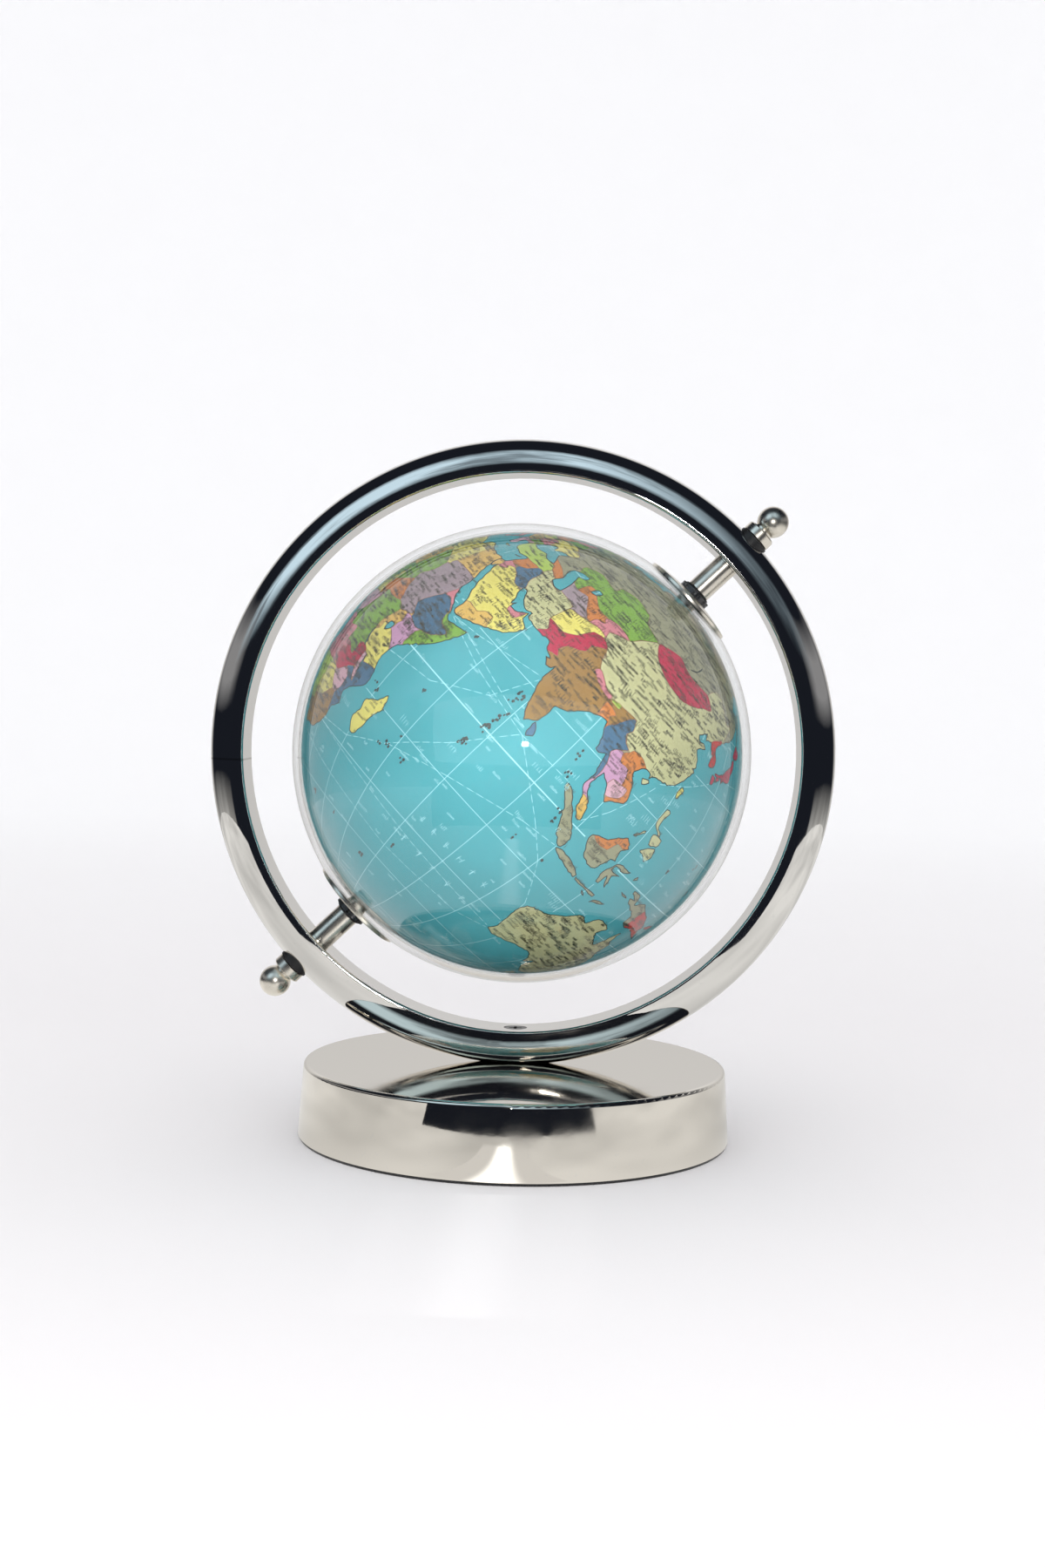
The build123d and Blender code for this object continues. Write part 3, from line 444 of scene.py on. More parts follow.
# country fields: only those lands take the ink, and a later field lies over an earlier one
fields = [
    ("green",
        "46.5 49 52 51.6 61 50.8 61.5 53.5 69 55.3 77 54 80 50.9 87.3 49.2 82.5 45.5 80.2 42.3 74 43.2 70 42 "
        "66 42 61 44.4 56 45.2 56 41.3 53 42 50 44.5 47 47.5"),
    ("orange",
        "56 41.2 56 45.1 58.6 45.6 61 44.3 66.2 42 70 42.2 73 41 71 40 68 39 68 37.2 66.5 37.4 64 39 60 42"),
    ("mauve", "52 42 56 41.3 60 42.2 64 39 66.5 37.4 64.5 36.3 62 35.3 60 36.6 54 37.3 52 40"),
    ("rose", "69.5 41.8 74 43.2 80.2 42.3 76.5 40.2 74.8 37.3 71.5 36.7 68 37.1 68.5 39.5 71 40.3"),
    ("khaki",
        "74 39.5 80.2 42.3 82.5 45.3 87.5 49.2 91 45.2 97 42.7 105 41.6 111.7 43.5 115.5 45.4 119.8 46.8 116 "
        "49.8 120 53 125.5 53.2 131 47.8 134.8 48.3 131 43.2 130.6 42.4 128 42 124.3 40 123 35 123 25 112 17 "
        "107 19 107.8 21.6 104.5 22.8 101.5 21.3 99.2 22.3 97.6 25 97.5 28.2 92 27.8 88.8 27.4 86 28 81 30.2 "
        "78.8 31.5 79 34 76 36"),
    ("crimson",
        "87.8 49.2 92 50.8 98.3 52 102 50.5 107 49.6 116 49.9 119.8 47 115.5 45.4 111.7 43.5 105 41.6 97 "
        "42.7 91 45.2"),
    ("red", "124.3 40 128 42 130.7 42.4 130.5 34 125 33.5"),
    ("khaki",
        "44.5 39.6 48.2 39.5 49.5 36.8 54 36.5 54 37.3 61 36.6 61 31.4 60.8 29.8 63.2 27.2 61.6 24.8 50 26.5 "
        "48 30 46 33 45.5 35.8 44.3 38"),
    ("yellow",
        "61.1 35.5 64.5 36.3 68 37.2 71.4 38 74.8 37.3 71.5 36 70 33.5 69.3 31.9 66.4 29.8 61 29.8 60.9 31.5"),
    ("crimson",
        "61.6 24.8 63.2 27.2 60.9 29.8 66.4 29.8 69.3 31.9 70.2 33.8 71.3 36.1 74.9 37 77.8 35.4 74.3 33 "
        "74.5 31 73 29.5 70.3 28 69.6 25.8 71 24.4 68.2 23.4 66 24.5"),
    ("sand",
        "68.2 23.6 71 24.4 69.6 25.8 70.3 28 73 29.5 74.5 31 74.3 33 77.8 35.4 79 32.5 81 30.2 84 27.8 88.1 "
        "26.5 88.9 27.3 92 27.8 97.3 28.2 95.2 26 94 23.5 92.7 22 91.2 23.8 92.4 25 89.8 26 88.2 24.5 89 "
        "21.5 85 16 80 7 76 7 66 20"),
    ("rose", "80.2 30 81.5 30.3 86 28 88.2 27.8 88.1 26.5 84.5 27.1 80.1 28.8"),
    ("lime", "88.8 27.4 92 27.9 92 26.8 89 26.7"),
    ("orange", "88.2 25.8 89.8 26 92.4 25 91.2 23.8 92.6 22 92.3 20.8 89 21 88.3 24.3"),
    ("slate",
        "92.4 20.5 92.7 22.2 94 23.8 95.2 26.2 97.3 28.2 98.6 25.5 97.7 24 99.2 22.2 101 21.5 98.8 19.7 97.6 "
        "18.2 98.8 15.8 99.3 12.5 98.6 9.8 96 9.5 93.5 15"),
    ("violet",
        "97.6 18.2 98.8 19.8 100.5 20.2 101.2 18.2 104 18.2 105.2 16 105.5 14.4 102.8 13.8 102.5 12 100.5 11 "
        "101.8 6.3 99.8 6.4 97.5 7.5 98.9 10.5 99.3 12.5 98.8 15.8"),
    ("orange",
        "102.2 22.4 104.6 22.8 108 21.6 108.5 18 110 14 109.5 10.5 105 8 104.6 10.4 106.2 11.5 107.6 12.5 "
        "107.5 14.6 105.5 14.4 105.2 16 104 18.2 101.2 18.2 100.4 20.2 101.6 21.3"),
    ("pink", "102.5 11.5 102.8 14 105.5 14.4 107.5 14.6 107.6 12.5 106.2 11 104.6 10.1 103 10.2"),
    ("gold", "99.8 6.4 101.8 6.3 104.8 3 104.4 1 100 3.5"),
    ("orange", "109.3 2.2 111.5 1 114.8 1.5 115.8 4.3 118 4.2 120 5 117 8 112 4.5"),
    ("red", "141 -2 141 -10 152 -12 152 -5 146 -3"),
    ("lime", "26 40 26 41.8 31 41.9 42 41.8 44.6 39.8 44.5 37.3 42.3 37.1 36.5 36.7 36 35.9 26 36"),
    ("orange", "35.5 36.8 37 36.8 42.3 37.1 41 34.5 38.8 33.3 35.8 32.4 35 34"),
    ("slate",
        "42.3 37.1 44.6 37.2 45.5 35.8 46 33 48.2 30.5 48.4 29.9 46.5 29.1 44.7 29.2 42 31.1 39 32.2 38.8 "
        "33.3 41 34.5"),
    ("rose", "34 31.4 35.6 32.9 39 32.2 37 31 38 30.5 36 29.2 34.7 29.2"),
    ("yellow",
        "34.8 29.3 36 29.2 38 30.5 37 31.2 39 32.1 42 31.1 44.7 29.2 46.5 29.1 48.6 28.5 51.5 24.5 52 23 "
        "55.2 22.7 55 20 52 19 49 18.6 47.5 17.1 44 17.4 42.6 16.4 38 21 34.5 27.5"),
    ("gold", "42.4 16.4 44 17.4 47.5 17.1 49 18.6 52 19 53.1 16.3 50 12 43 12"),
    ("yellow", "52 19 55 20 55.2 22.7 55.8 24.2 56.2 26.8 61 22 55 15.8 53.1 16.3"),
    ("rose", "51.4 24.2 52 23 55.2 22.7 55.8 24.2 56.2 25.6 55 26 52 25"),
    ("orange", "39.5 43.5 46.5 41.9 49.8 40.3 48.8 38.5 44.6 39.8 42.5 41.2 41 41.2"),
    ("yellow", "22.2 48.3 24 50.5 31 52 34.2 51.3 40 49.5 38 46.8 33 44 30 45.3 28 45.4 26.5 48.2"),
    ("green", "23.5 54 28 56 31 55 32.5 53 31 52 24 51.6"),
    ("rose", "20.8 55.3 24 57.8 24 59.6 28 59.6 28 56 23.5 54 21.5 54.6"),
    ("orange", "14.2 54 18.6 55 22.8 54.4 23.6 51.5 22.6 49.2 18.8 49.5 15 51"),
    ("lime", "12.2 50.3 18.8 49.5 22.4 48.6 18.8 47.8 17 48.7 14 48.6"),
    ("rose", "20.3 46 22.8 48 26.6 48.2 28.2 45.4 29.8 45.2 28.5 43.7 22.7 44"),
    ("green", "22.6 44 28.7 43.8 28 41.9 26 41.5 22.9 41.4"),
    ("yellow", "16.2 46.8 18 47.8 22.8 48 20.3 46.1 18 45.8"),
    ("gold", "13.5 46.4 16.5 46.4 20.3 46 22.6 44 22.4 42.2 19.4 42 15 43.4"),
    ("pink", "19.3 42 22.9 41.4 26.4 41.8 26.4 40 25 35 21 36 19 40"),
    ("rose", "6.8 45.8 10 46.6 13.7 46.5 14 44 19 40.5 16 37.3 12 40 9 43.5"),
    ("pink",
        "6.9 53.4 8.8 54.9 11 54.1 14.2 54 15 51 12.2 50.3 13.8 48.7 12.8 47.5 7.6 47.6 8.1 49 6.2 49.6"),
    ("orange", "2.5 51.2 4 52.4 6.9 53.6 6.2 49.6 5 49.6"),
    ("yellow", "6 46.2 7.6 47.6 12.8 47.6 17 48.4 16.4 46.7 10 46.6 7 45.9"),
    ("green", "-5 48.6 1.6 51.2 2.5 51 8.1 49 7.6 47.6 6 46.2 7.4 43.6 3 42.4 -1.8 43.3 -2 47"),
    ("gold", "-1.8 43.5 3.4 42.4 1 40 -1.5 36.5 -5.6 35.9 -7.4 37.2 -6.9 41.9 -9.6 42 -9.6 44"),
    ("lime", "-9.6 42 -6.9 41.9 -7.4 37.1 -9.8 36.8"),
    ("green", "21 60.6 28 60.4 31.5 62.8 29.5 66 28.6 69.8 24 68.6 22 63"),
    ("rose", "11.4 59 12.6 55 17 56 19.6 60.5 17.8 62.2 22.2 65.6 24 66 23.5 68 18 68.4 14 65 12 61"),
    ("yellow", "4 58 11.4 59 12 61 14 65 18 68.4 24 68.8 28.6 69.9 31.2 70 25.7 72 12 68"),
    ("lime", "8 54.9 11 54.9 12.6 56 10.6 58 8 57.4"), ("gold", "24.9 32 25 22 37.5 22 35.5 28 34.3 31.4"),
    ("yellow", "9.5 30.3 11.5 33.4 19 33 25 32.2 25 20 24 19.5 16 23.3 12 23.5 10 26.3"),
    ("green",
        "-2 35.4 8.6 37.2 8.2 34 9.5 30.3 10 26.3 12 23.5 5.8 19.4 3.2 19.1 -4.8 25 -8.7 27.3 -8.7 28.8 -1.2 "
        "32.2"),
    ("rose", "8.6 37.4 8.2 34 9.5 30.3 11.6 33.2 11.5 37.6"),
    ("orange", "-2 35.4 -1.2 32.2 -8.7 28.8 -13.2 27.7 -10 32 -6 36"),
    ("pink", "-17.2 21 -13 21.3 -13 23.5 -8.7 27.3 -4.8 25 -5.5 15.5 -12 14.8 -16.8 16.2"),
    ("yellow", "-4.8 25 3.2 19.1 4.2 16.8 3.5 15.3 0 15 -4 13.3 -5.5 10.4 -11.4 12.2 -12 14.8 -5.5 15.5"),
    ("gold", "3.2 19.1 5.8 19.4 12 23.5 15.9 23 13.5 14 9 12.8 3.6 11.8 0.2 15 3.5 15.3 4.2 16.8"),
    ("green", "15.9 23.3 24 19.5 24 15.7 22 13 22.8 11 19 9 15.2 7.5 14 10.5 14 13 13.5 14.2 15.5 18"),
    ("slate", "-17.8 14.8 -12 14.8 -11.4 12.2 -8 11.6 -8.2 8 -11.5 6.6 -15.5 10"),
    ("orange", "-8.2 8 -8 11.6 -5.5 10.4 -2.8 10.8 -3 4.6 -8 4"), ("rose", "-3 4.6 -2.8 11 0 11 1.2 5.8"),
    ("lime", "1.2 5.8 0.8 11 3.6 11.8 2.7 6"), ("mauve", "-4 13.3 0 15 2 12.4 0 11 -5.5 10.4"),
    ("green", "2.7 6 3.6 11.8 9 12.8 13.5 13.7 14 11 11.5 6.8 8.6 4.4 6 3.8"),
    ("yellow", "8.6 4.8 11.5 6.7 14 10.5 14.5 12.8 15.3 10 14.6 5 16.2 2.2 9.4 2.2"),
    ("mauve",
        "25 22 37.5 22 39 18 36.5 14.3 34.2 10.5 33 7.8 35.5 5 31 3.6 27.5 5 24.2 8.7 22.8 11 22 13 24 15.7 "
        "24 20 25 20"),
    ("slate",
        "36.5 14.3 39 14.6 42.5 12.5 43 11 44.2 9 48 8 45 5 41.8 4 39.5 3.5 36 4.5 35.8 5.3 33 7.8 34.2 10.6"),
    ("rose", "36.5 14.3 38.5 18.4 43.3 12.6 42.3 12.5 39 14.6"),
    ("green", "42.8 11.6 51.5 12.2 51.4 7 41.5 -2 41 -0.8 41 2.8 41.8 4 45 5 48 8 44.2 9 43 10.8"),
    ("violet", "34 4.3 36 4.5 39.5 3.5 41.8 4 41 2.8 41 -0.8 41.6 -2 39.2 -4.8 37.6 -3.1 34 -1 34 0.5 35 2"),
    ("gold", "31 3.6 34 4.3 34.5 1 34 -1 29.6 -1.3 30 0.8"),
    ("yellow",
        "30.5 -1.1 34 -1 37.6 -3.1 39.2 -4.8 40.4 -8 40.8 -10.4 34.9 -11.4 34 -9.5 32.9 -9.3 30.7 -8.3 29.3 "
        "-4.5 30.8 -3"),
    ("green",
        "12 -6 16.5 -5.9 17 -8 21.8 -7.3 22 -11 24 -10.9 28.4 -12.5 29 -13.4 28.5 -9 30.7 -8.3 29.3 -4.5 29 "
        "-1.5 30 0.8 31 3.6 27.5 5 22.5 4.2 18.6 4.4 17.8 -0.5 16 -3.5 12.8 -4.9"),
    ("orange", "15 7.5 19 9 22.8 11 24.2 8.7 27.5 5 22.5 4.2 18.6 4.4 16.2 2.2 14.6 5"),
    ("pink", "8.6 0 9.2 2.2 16.2 2.2 18.6 3.5 17.8 -0.5 16 -3.5 12.8 -4.9 10.6 -5"),
    ("rose",
        "12 -6 16.5 -5.9 17 -8 21.8 -7.3 22 -11 24 -10.9 24 -13 22 -13 22 -16.2 23.4 -17.6 18.5 -17.4 11.4 "
        "-17.3"),
    ("crimson",
        "22 -16.2 22 -13 24 -13 24 -10.9 28.4 -12.5 28.5 -9 30.7 -8.3 32.9 -9.3 33.2 -13.5 30.3 -15.6 27 "
        "-17.9 25.3 -17.8"),
    ("slate",
        "41 -10.4 34.9 -11.4 35 -14 35.5 -16.8 34.4 -16 33 -14 30.3 -15.3 31 -17 32.9 -17.5 32.8 -20 31.3 "
        "-22.3 32 -25 32.1 -26.8 33.2 -27 37 -22 42 -14"),
    ("pink", "32.9 -9.3 34 -9.5 35 -14 35.5 -16.5 34.5 -16 33.2 -13.5"),
    ("pink", "25.3 -17.8 27 -17.9 30.3 -15.6 32.9 -17 32.8 -20 31.3 -22.3 29.4 -22.2 27.5 -20.5 26 -19.5"),
    ("yellow", "21 -18.2 25.3 -17.8 27.5 -20.5 29.4 -22.2 25.5 -25.6 20.7 -26.8 20 -24.8 20 -22 21 -22"),
    ("lime", "11.2 -17.3 18.5 -17.4 23.4 -17.6 25.2 -17.8 21 -18.3 21 -22 20 -22 20 -28.5 16.2 -28.9 13 -24"),
    ("sand",
        "16 -28.7 20 -28.5 20 -24.8 20.7 -26.8 25.5 -25.6 29.4 -22.2 31.3 -22.3 32 -25 32.1 -26.8 33.4 -27 "
        "33 -30 25 -36 16 -35.5"),
    ("pink",
        "-141 72 -141 60 -130 55.3 -128 48.2 -123 49 -95 49 -89.5 48 -84.5 46.6 -82.5 42.5 -79 43.2 -76 44.3 "
        "-74.8 45 -71 45.3 -69 47.3 -67 44.8 -62 42.5 -50 52 -62 62 -60 72 -90 75"),
    ("khaki", "-172 72 -172 52 -133 52 -130.2 55.5 -141 60.3 -141 72"),
    ("khaki",
        "-128 48.3 -123 49 -95 49 -89.5 48 -84.5 46.6 -82.5 42.5 -79 43.2 -76 44.3 -74.8 45 -71 45.3 -69 "
        "47.3 -67 44.8 -65 40 -78 24 -97.2 25.9 -99.3 26.8 -101.5 29.8 -104.5 29.6 -106.5 31.8 -111 31.4 "
        "-114.8 32.5 -117.4 32.4 -128 38"),
    ("orange", "-92.2 14.2 -91 17.8 -88 18.2 -85 18 -82 11 -77.3 8.6 -77.4 7 -84 7"),
    ("gold", "-77.4 8.9 -72 12.6 -72.5 7.3 -67.5 6 -67 1.2 -70 -4.2 -75 -0.2 -79.4 1.4 -78.4 6"),
    ("slate", "-72 12.6 -72.5 7.3 -67.5 6 -67 1.2 -64 2 -60.5 5 -59.6 8.8 -61 12"),
    ("rose", "-60 9 -60.5 5 -59.5 1.8 -52 2.5 -51 4.6"),
    ("orange", "-81.5 1.4 -79 1.4 -75 -0.2 -78.3 -3.3 -81.5 -3.4"),
    ("crimson",
        "-81.8 -3.4 -78.3 -3.3 -75 -0.2 -70 -4.2 -73 -7.3 -70.5 -9.5 -69 -12 -69.5 -17.5 -70.6 -18.5 -78 -16 "
        "-82 -6"),
    ("khaki", "-69 -11 -65.3 -10 -60.2 -15 -58 -19 -62.3 -20.5 -62.8 -22 -67 -22.8 -69.5 -17.5"),
    ("pink", "-62.3 -20.5 -58 -19.8 -57.8 -22.1 -54.3 -24.2 -55.8 -27.3 -58.6 -27.2 -57.7 -25.3 -62.6 -22.2"),
    ("rose",
        "-71 -18.3 -69.3 -18 -67 -22.8 -68.4 -25 -70 -33 -71.2 -37 -71.7 -44 -72.5 -50 -68.5 -52.2 -68.6 "
        "-55.6 -76 -56 -77 -30"),
    ("yellow",
        "-67 -22.8 -62.8 -22 -57.7 -25.3 -58.6 -27.2 -54 -25.5 -53.7 -27 -57.6 -30.2 -58.2 -34 -56 -39 -62 "
        "-56 -68.6 -55.6 -68.5 -52.2 -72.5 -50 -71.7 -44 -71.2 -37 -70 -33 -68.4 -25"),
    ("violet", "-57.6 -30.2 -53.4 -33.8 -54 -36 -58.4 -34"),
    ("mauve",
        "-92 14 -92 18 -97 15.5 -97.2 25.9 -99.3 26.8 -101.5 29.8 -104.5 29.6 -106.5 31.8 -111 31.4 -114.8 "
        "32.5 -117.4 32.4 -110 20 -97 14"),
]
islets = (
    "73.6 5.6 73 4 73.4 2.8 72.8 -0.4 71.6 -6.4 72.2 -5.2 73.2 11 72 9 73.2 2 73 0.5 72.5 10.5 72.8 12 55.5 "
    "-4.6 57.5 -20.3 55.5 -21.1 72 -6 71.5 -5.3 43.4 -11.7 45.2 -12.8 92.8 12.6 92.9 11.4 93.8 7.2 96.8 "
    "-12.2 105.6 -10.5 77.5 -38 70 -49.3 37.8 -46.9 51.7 -46.4 -25.7 37.8 -16.5 28.3 -24 15 -17 32.7 -155.5 "
    "19.6 -157.9 21.3 -149.5 -17.6 178 -18 -172 -13.8 -175 -21.2 160 -9.5 157 -8 168 -16.5 144.8 13.4 134.5 "
    "7.5 151.8 7.4 171 7 173 1.4 -90.5 -0.6 -109.4 -27.1 -36.5 -54.3 -5.7 -15.9 -14.4 -7.9 148 45 152 47 "
    "155.5 50 53.9 12.5 58 -19.8 63.4 -19.7 60 -16.5 98.8 -0.5 100 -2.8"
)


def readPairs(text):
    numbers = [float(word) for word in text.split()]
    return list(zip(numbers[::2], numbers[1::2]))


def roughen(points, rounds, size, chance):
    # rounds off an outline, then shakes the points between the given ones
    count = len(points)
    made = []
    for i in range(count):
        before, here, after, beyond = (Vector(points[(i + k) % count]) for k in (-1, 0, 1, 2))
        made.append(here.copy())
        length = (after - here).length
        onEdge = abs(here.x) > 179.5 and abs(after.x) > 179.5 or here.y < -83 and after.y < -83
        steps = 1 if onEdge else max(1, min(rounds, round(length / 0.8)))
        for step in range(1, steps):
            t = step / steps
            spot = 0.5 * (
                2 * here + (after - before) * t + (2 * before - 5 * here + 4 * after - beyond) * t * t
                + (3 * here - before - 3 * after + beyond) * t ** 3
            )
            spot = spot.lerp(here.lerp(after, t), 0.35)
            shake = size * min(1.0, length / 3)
            spot += Vector((chance.uniform(-shake, shake), chance.uniform(-shake, shake)))
            spot.x = max(-180, min(180, spot.x))
            made.append(spot)
    return made


chance = random.Random(mapSet["seed"])
landShapes = {name: roughen(readPairs(text), 6, 0.22, chance) for name, text in lands.items()}
lakeShapes = {name: roughen(readPairs(text), 4, 0.1, chance) for name, text in lakes.items()}
fieldShapes = [(ink, roughen(readPairs(text), 3, 0.1, chance)) for ink, text in fields]
islandInk = {name: ink for ink, names in islandInks.items() for name in names.split()}


def insideMask(shape, xs, ys):
    # which of the points lie inside an outline, by counting crossings
    corners = np.array([(p[0], p[1]) for p in shape])
    low, high = corners.min(0), corners.max(0)
    near = np.where((xs >= low[0]) & (xs <= high[0]) & (ys >= low[1]) & (ys <= high[1]))[0]
    mask = np.zeros(len(xs), bool)
    if not len(near):
        return mask
    px, py = xs[near], ys[near]
    inside = np.zeros(len(near), bool)
    for (x1, y1), (x2, y2) in zip(corners, np.roll(corners, -1, axis=0)):
        if y1 == y2:
            continue
        inside ^= ((y1 > py) != (y2 > py)) & (px < (x2 - x1) * (py - y1) / (y2 - y1) + x1)
    mask[near] = inside
    return mask


def inkOf(xs, ys):
    # index of the ink printed at each point, 0 for sea
    order = list(inks)
    made = np.zeros(len(xs), int)
    mainland = np.zeros(len(xs), bool)
    for name, shape in landShapes.items():
        mask = insideMask(shape, xs, ys)
        made[mask] = order.index(islandInk.get(name, "greyKhaki"))
        if name in countryLands:
            mainland |= mask
    for ink, shape in fieldShapes:
        made[insideMask(shape, xs, ys) & mainland] = order.index(ink)
    for shape in lakeShapes.values():
        made[insideMask(shape, xs, ys)] = 0
    return made


def aroundAxis(turn):
    return frontWay * math.cos(turn) + eastWay * math.sin(turn)


def onGlobe(longitude, latitude, radius):
    turn = math.radians(longitude - mapSet["middleLongitude"])
    rise = math.radians(latitude)
    return globeCentre + (northWay * math.sin(rise) + aroundAxis(turn) * math.cos(rise)) * radius


def newObject(name, data):
    made = bpy.data.objects.new(name, data)
    bpy.context.scene.collection.objects.link(made)
    return made


def meshObject(name, points, faces, material, smooth):
    mesh = bpy.data.meshes.new(name)
    mesh.from_pydata([tuple(p) for p in points], [], faces)
    mesh.update()
    mesh.materials.append(material)
    mesh.polygons.foreach_set("use_smooth", [smooth] * len(mesh.polygons))
    return newObject(name, mesh)


def globePiece(name, points, faces, material, replaced=()):
    made = meshObject(name, points, faces, material, True)
    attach(made, "globe")
    if replaced:
        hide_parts(*replaced)
    return made


def radialNormals(piece):
    away = [tuple((Vector(v.co) - globeCentre).normalized()) for v in piece.data.vertices]
    piece.data.normals_split_custom_set_from_vertices(away)


def buildPaper():
    # a grid of points and every outline, joined into one flat sheet of triangles
    step, top = mapSet["gridStep"], mapSet["poleEdge"]
    bands = round(2 * top / step)
    rows = [-top + i * 2 * top / bands for i in range(bands + 1)]
    width = int(360 / step) + 1
    points = [(-180 + k * step, latitude) for latitude in rows for k in range(width)]
    edges = []
    for r in (0, bands):
        edges += [(r * width + k, r * width + k + 1) for k in range(width - 1)]
    for r in range(bands):
        edges += [(r * width, (r + 1) * width), (r * width + width - 1, (r + 1) * width + width - 1)]
    for shape in [*landShapes.values(), *lakeShapes.values(), *(s for _, s in fieldShapes)]:
        first = len(points)
        points += [(p[0], max(-top, min(top, p[1]))) for p in shape]
        edges += [(first + i, first + (i + 1) % len(shape)) for i in range(len(shape))]
    spots, _, faces, _, _, _ = delaunay_2d_cdt([Vector(p) for p in points], edges, [], 0, 1e-4)
    faces = [f for f in faces if len(set(f)) == 3]
    flat = np.array([(p.x, p.y) for p in spots])
    middles = flat[np.array(faces)].mean(1)
    return flat, faces, inkOf(middles[:, 0], middles[:, 1])


flatSpots, paperFaces, paperInk = buildPaper()
print("map laid out:", len(flatSpots), "points,", len(paperFaces), "faces")


def paperMaterial():
    made, tree, shader = newMaterial("printedPaper")
    ink = addNode(tree, "ShaderNodeAttribute", attribute_name="ink", attribute_type="GEOMETRY")
    where = objectSpot(tree)
    cloud = noiseAt(tree, where, 38.0, 4.0, 0.55)
    grain = noiseAt(tree, where, 2600.0, 2.0, 0.6)
    clouded = spread(tree, cloud, 0.3, 0.7, *mapSet["cloudTone"])
    grained = spread(tree, grain, 0.3, 0.7, *mapSet["grainTone"])
    tone = {0: ink.outputs["Color"], "Scale": mathOf(tree, "MULTIPLY", clouded, grained)}
    connect(tree, shader, {
        "Base Color": addNode(tree, "ShaderNodeVectorMath", tone, operation="SCALE").outputs["Vector"],
        "Roughness": spread(tree, cloud, 0.3, 0.7, *mapSet["paperRough"]),
        "Normal": bumpOf(tree, grain, 0.25, 0.01 * mm),
        "Specular IOR Level": mapSet["paperGloss"],
    })
    return made


def makePaper():
    spots = [onGlobe(x, y, mapSet["paperRadius"]) for x, y in flatSpots]
    sheet = globePiece("map_paper", spots, paperFaces, paperMaterial(), ["map_gores"])
    colors = sheet.data.color_attributes.new(name="ink", type="FLOAT_COLOR", domain="CORNER")
    table = np.array([srgb(*ink) for ink in inks.values()])
    colors.data.foreach_set("color", np.repeat(table[paperInk], 3, axis=0).ravel())
    radialNormals(sheet)


def drawStroke(made, start, end, width, lift=1.0):
    # flat printed line between two places given as longitude and latitude
    radius = mapSet["paperRadius"] + mapSet["inkRise"] * lift
    alongA, alongB = ((onGlobe(*place, radius) - globeCentre).normalized() for place in (start, end))
    side = alongA.cross(alongB)
    if side.length < 1e-7:
        return
    side = side.normalized() * width / 2
    tip = (alongB - alongA).normalized() * width * 0.35
    back, ahead = alongA * radius - tip, alongB * radius + tip
    points, faces = made
    first = len(points)
    points += [globeCentre + spot for spot in (back + side, ahead + side, ahead - side, back - side)]
    faces.append((first + 3, first + 2, first + 1, first))


def drawOutlines(coast, border):
    # a stroke on every edge of the sheet where the ink changes
    owner = {}
    for index, face in enumerate(paperFaces):
        for k in range(3):
            owner.setdefault(tuple(sorted((face[k], face[(k + 1) % 3]))), []).append(index)
    for (a, b), users in owner.items():
        if len(users) != 2:
            continue
        inkA, inkB = paperInk[users[0]], paperInk[users[1]]
        if inkA != inkB:
            made, width = (border, "borderInk") if inkA and inkB else (coast, "coastInk")
            drawStroke(made, flatSpots[a], flatSpots[b], mapSet[width])


def drawAtSea(pale, spots, width, dashed=False):
    # joins the places with strokes wherever both ends lie in the sea
    xs = np.array([(p[0] + 180) % 360 - 180 for p in spots])
    sea = inkOf(xs, np.array([p[1] for p in spots])) == 0
    for i in range(len(spots) - 1):
        if sea[i] and sea[i + 1] and not (dashed and i % 3 == 2):
            drawStroke(pale, spots[i], spots[i + 1], width)


def drawGraticule(pale):
    step, edge, width = mapSet["graticuleStep"], mapSet["poleEdge"] - 1, mapSet["graticuleInk"]
    for longitude in range(-180, 180, 15):
        drawAtSea(pale, [(longitude, -edge + i * step) for i in range(int(2 * edge / step) + 1)], width)
    for latitude in range(-75, 76, 15):
        times = mapSet["equatorTimes"] if latitude == 0 else 1.0
        drawAtSea(pale, [(-180 + i * step, latitude) for i in range(int(360 / step) + 1)], width * times)


routes = [
    "45 12.3 54 13.5 72.5 18", "45 12 62 8 80 5.4 95 6", "51 12 72 8 79 7",
    "80 5.4 97 -6 105 -12 113 -22 115 -31", "57.5 -20 75 -14 95 -8 104.5 -6.5",
    "32 -30 50 -31 80 -33 114 -34", "32 -29 45 -27 57 -20.5 70 -8 79.5 5", "40 -4.5 55 -2 68 6 72.8 17",
    "104 1.5 108 8 113.5 20", "114 21.5 122 26 130 31", "118 -33.5 105 -38 75 -40 40 -38 20 -36",
    "-75 38 -50 42 -25 46 -8 49", "-79 9 -60 20 -35 35 -10 44", "-40 -22 -20 -5 -18 12 -12 34",
    "-43 -23 -15 -32 16 -35", "-122 37 -140 30 -157 21.5", "-157 21 -175 30 150 36 141 35",
    "-157 20 -165 0 -178 -16 175 -35", "-80 7 -100 0 -130 -10 -149 -17",
]


def drawRoutes(pale):
    # dashed shipping lines between ports
    for text in routes:
        stops = readPairs(text)
        for (x1, y1), (x2, y2) in zip(stops, stops[1:]):
            across = (x2 - x1 + 180) % 360 - 180
            count = max(2, int(math.hypot(across, y2 - y1) / mapSet["routeDash"]))
            spots = [(x1 + across * i / count, y1 + (y2 - y1) * i / count) for i in range(count + 1)]
            drawAtSea(pale, spots, mapSet["routeInk"], dashed=True)


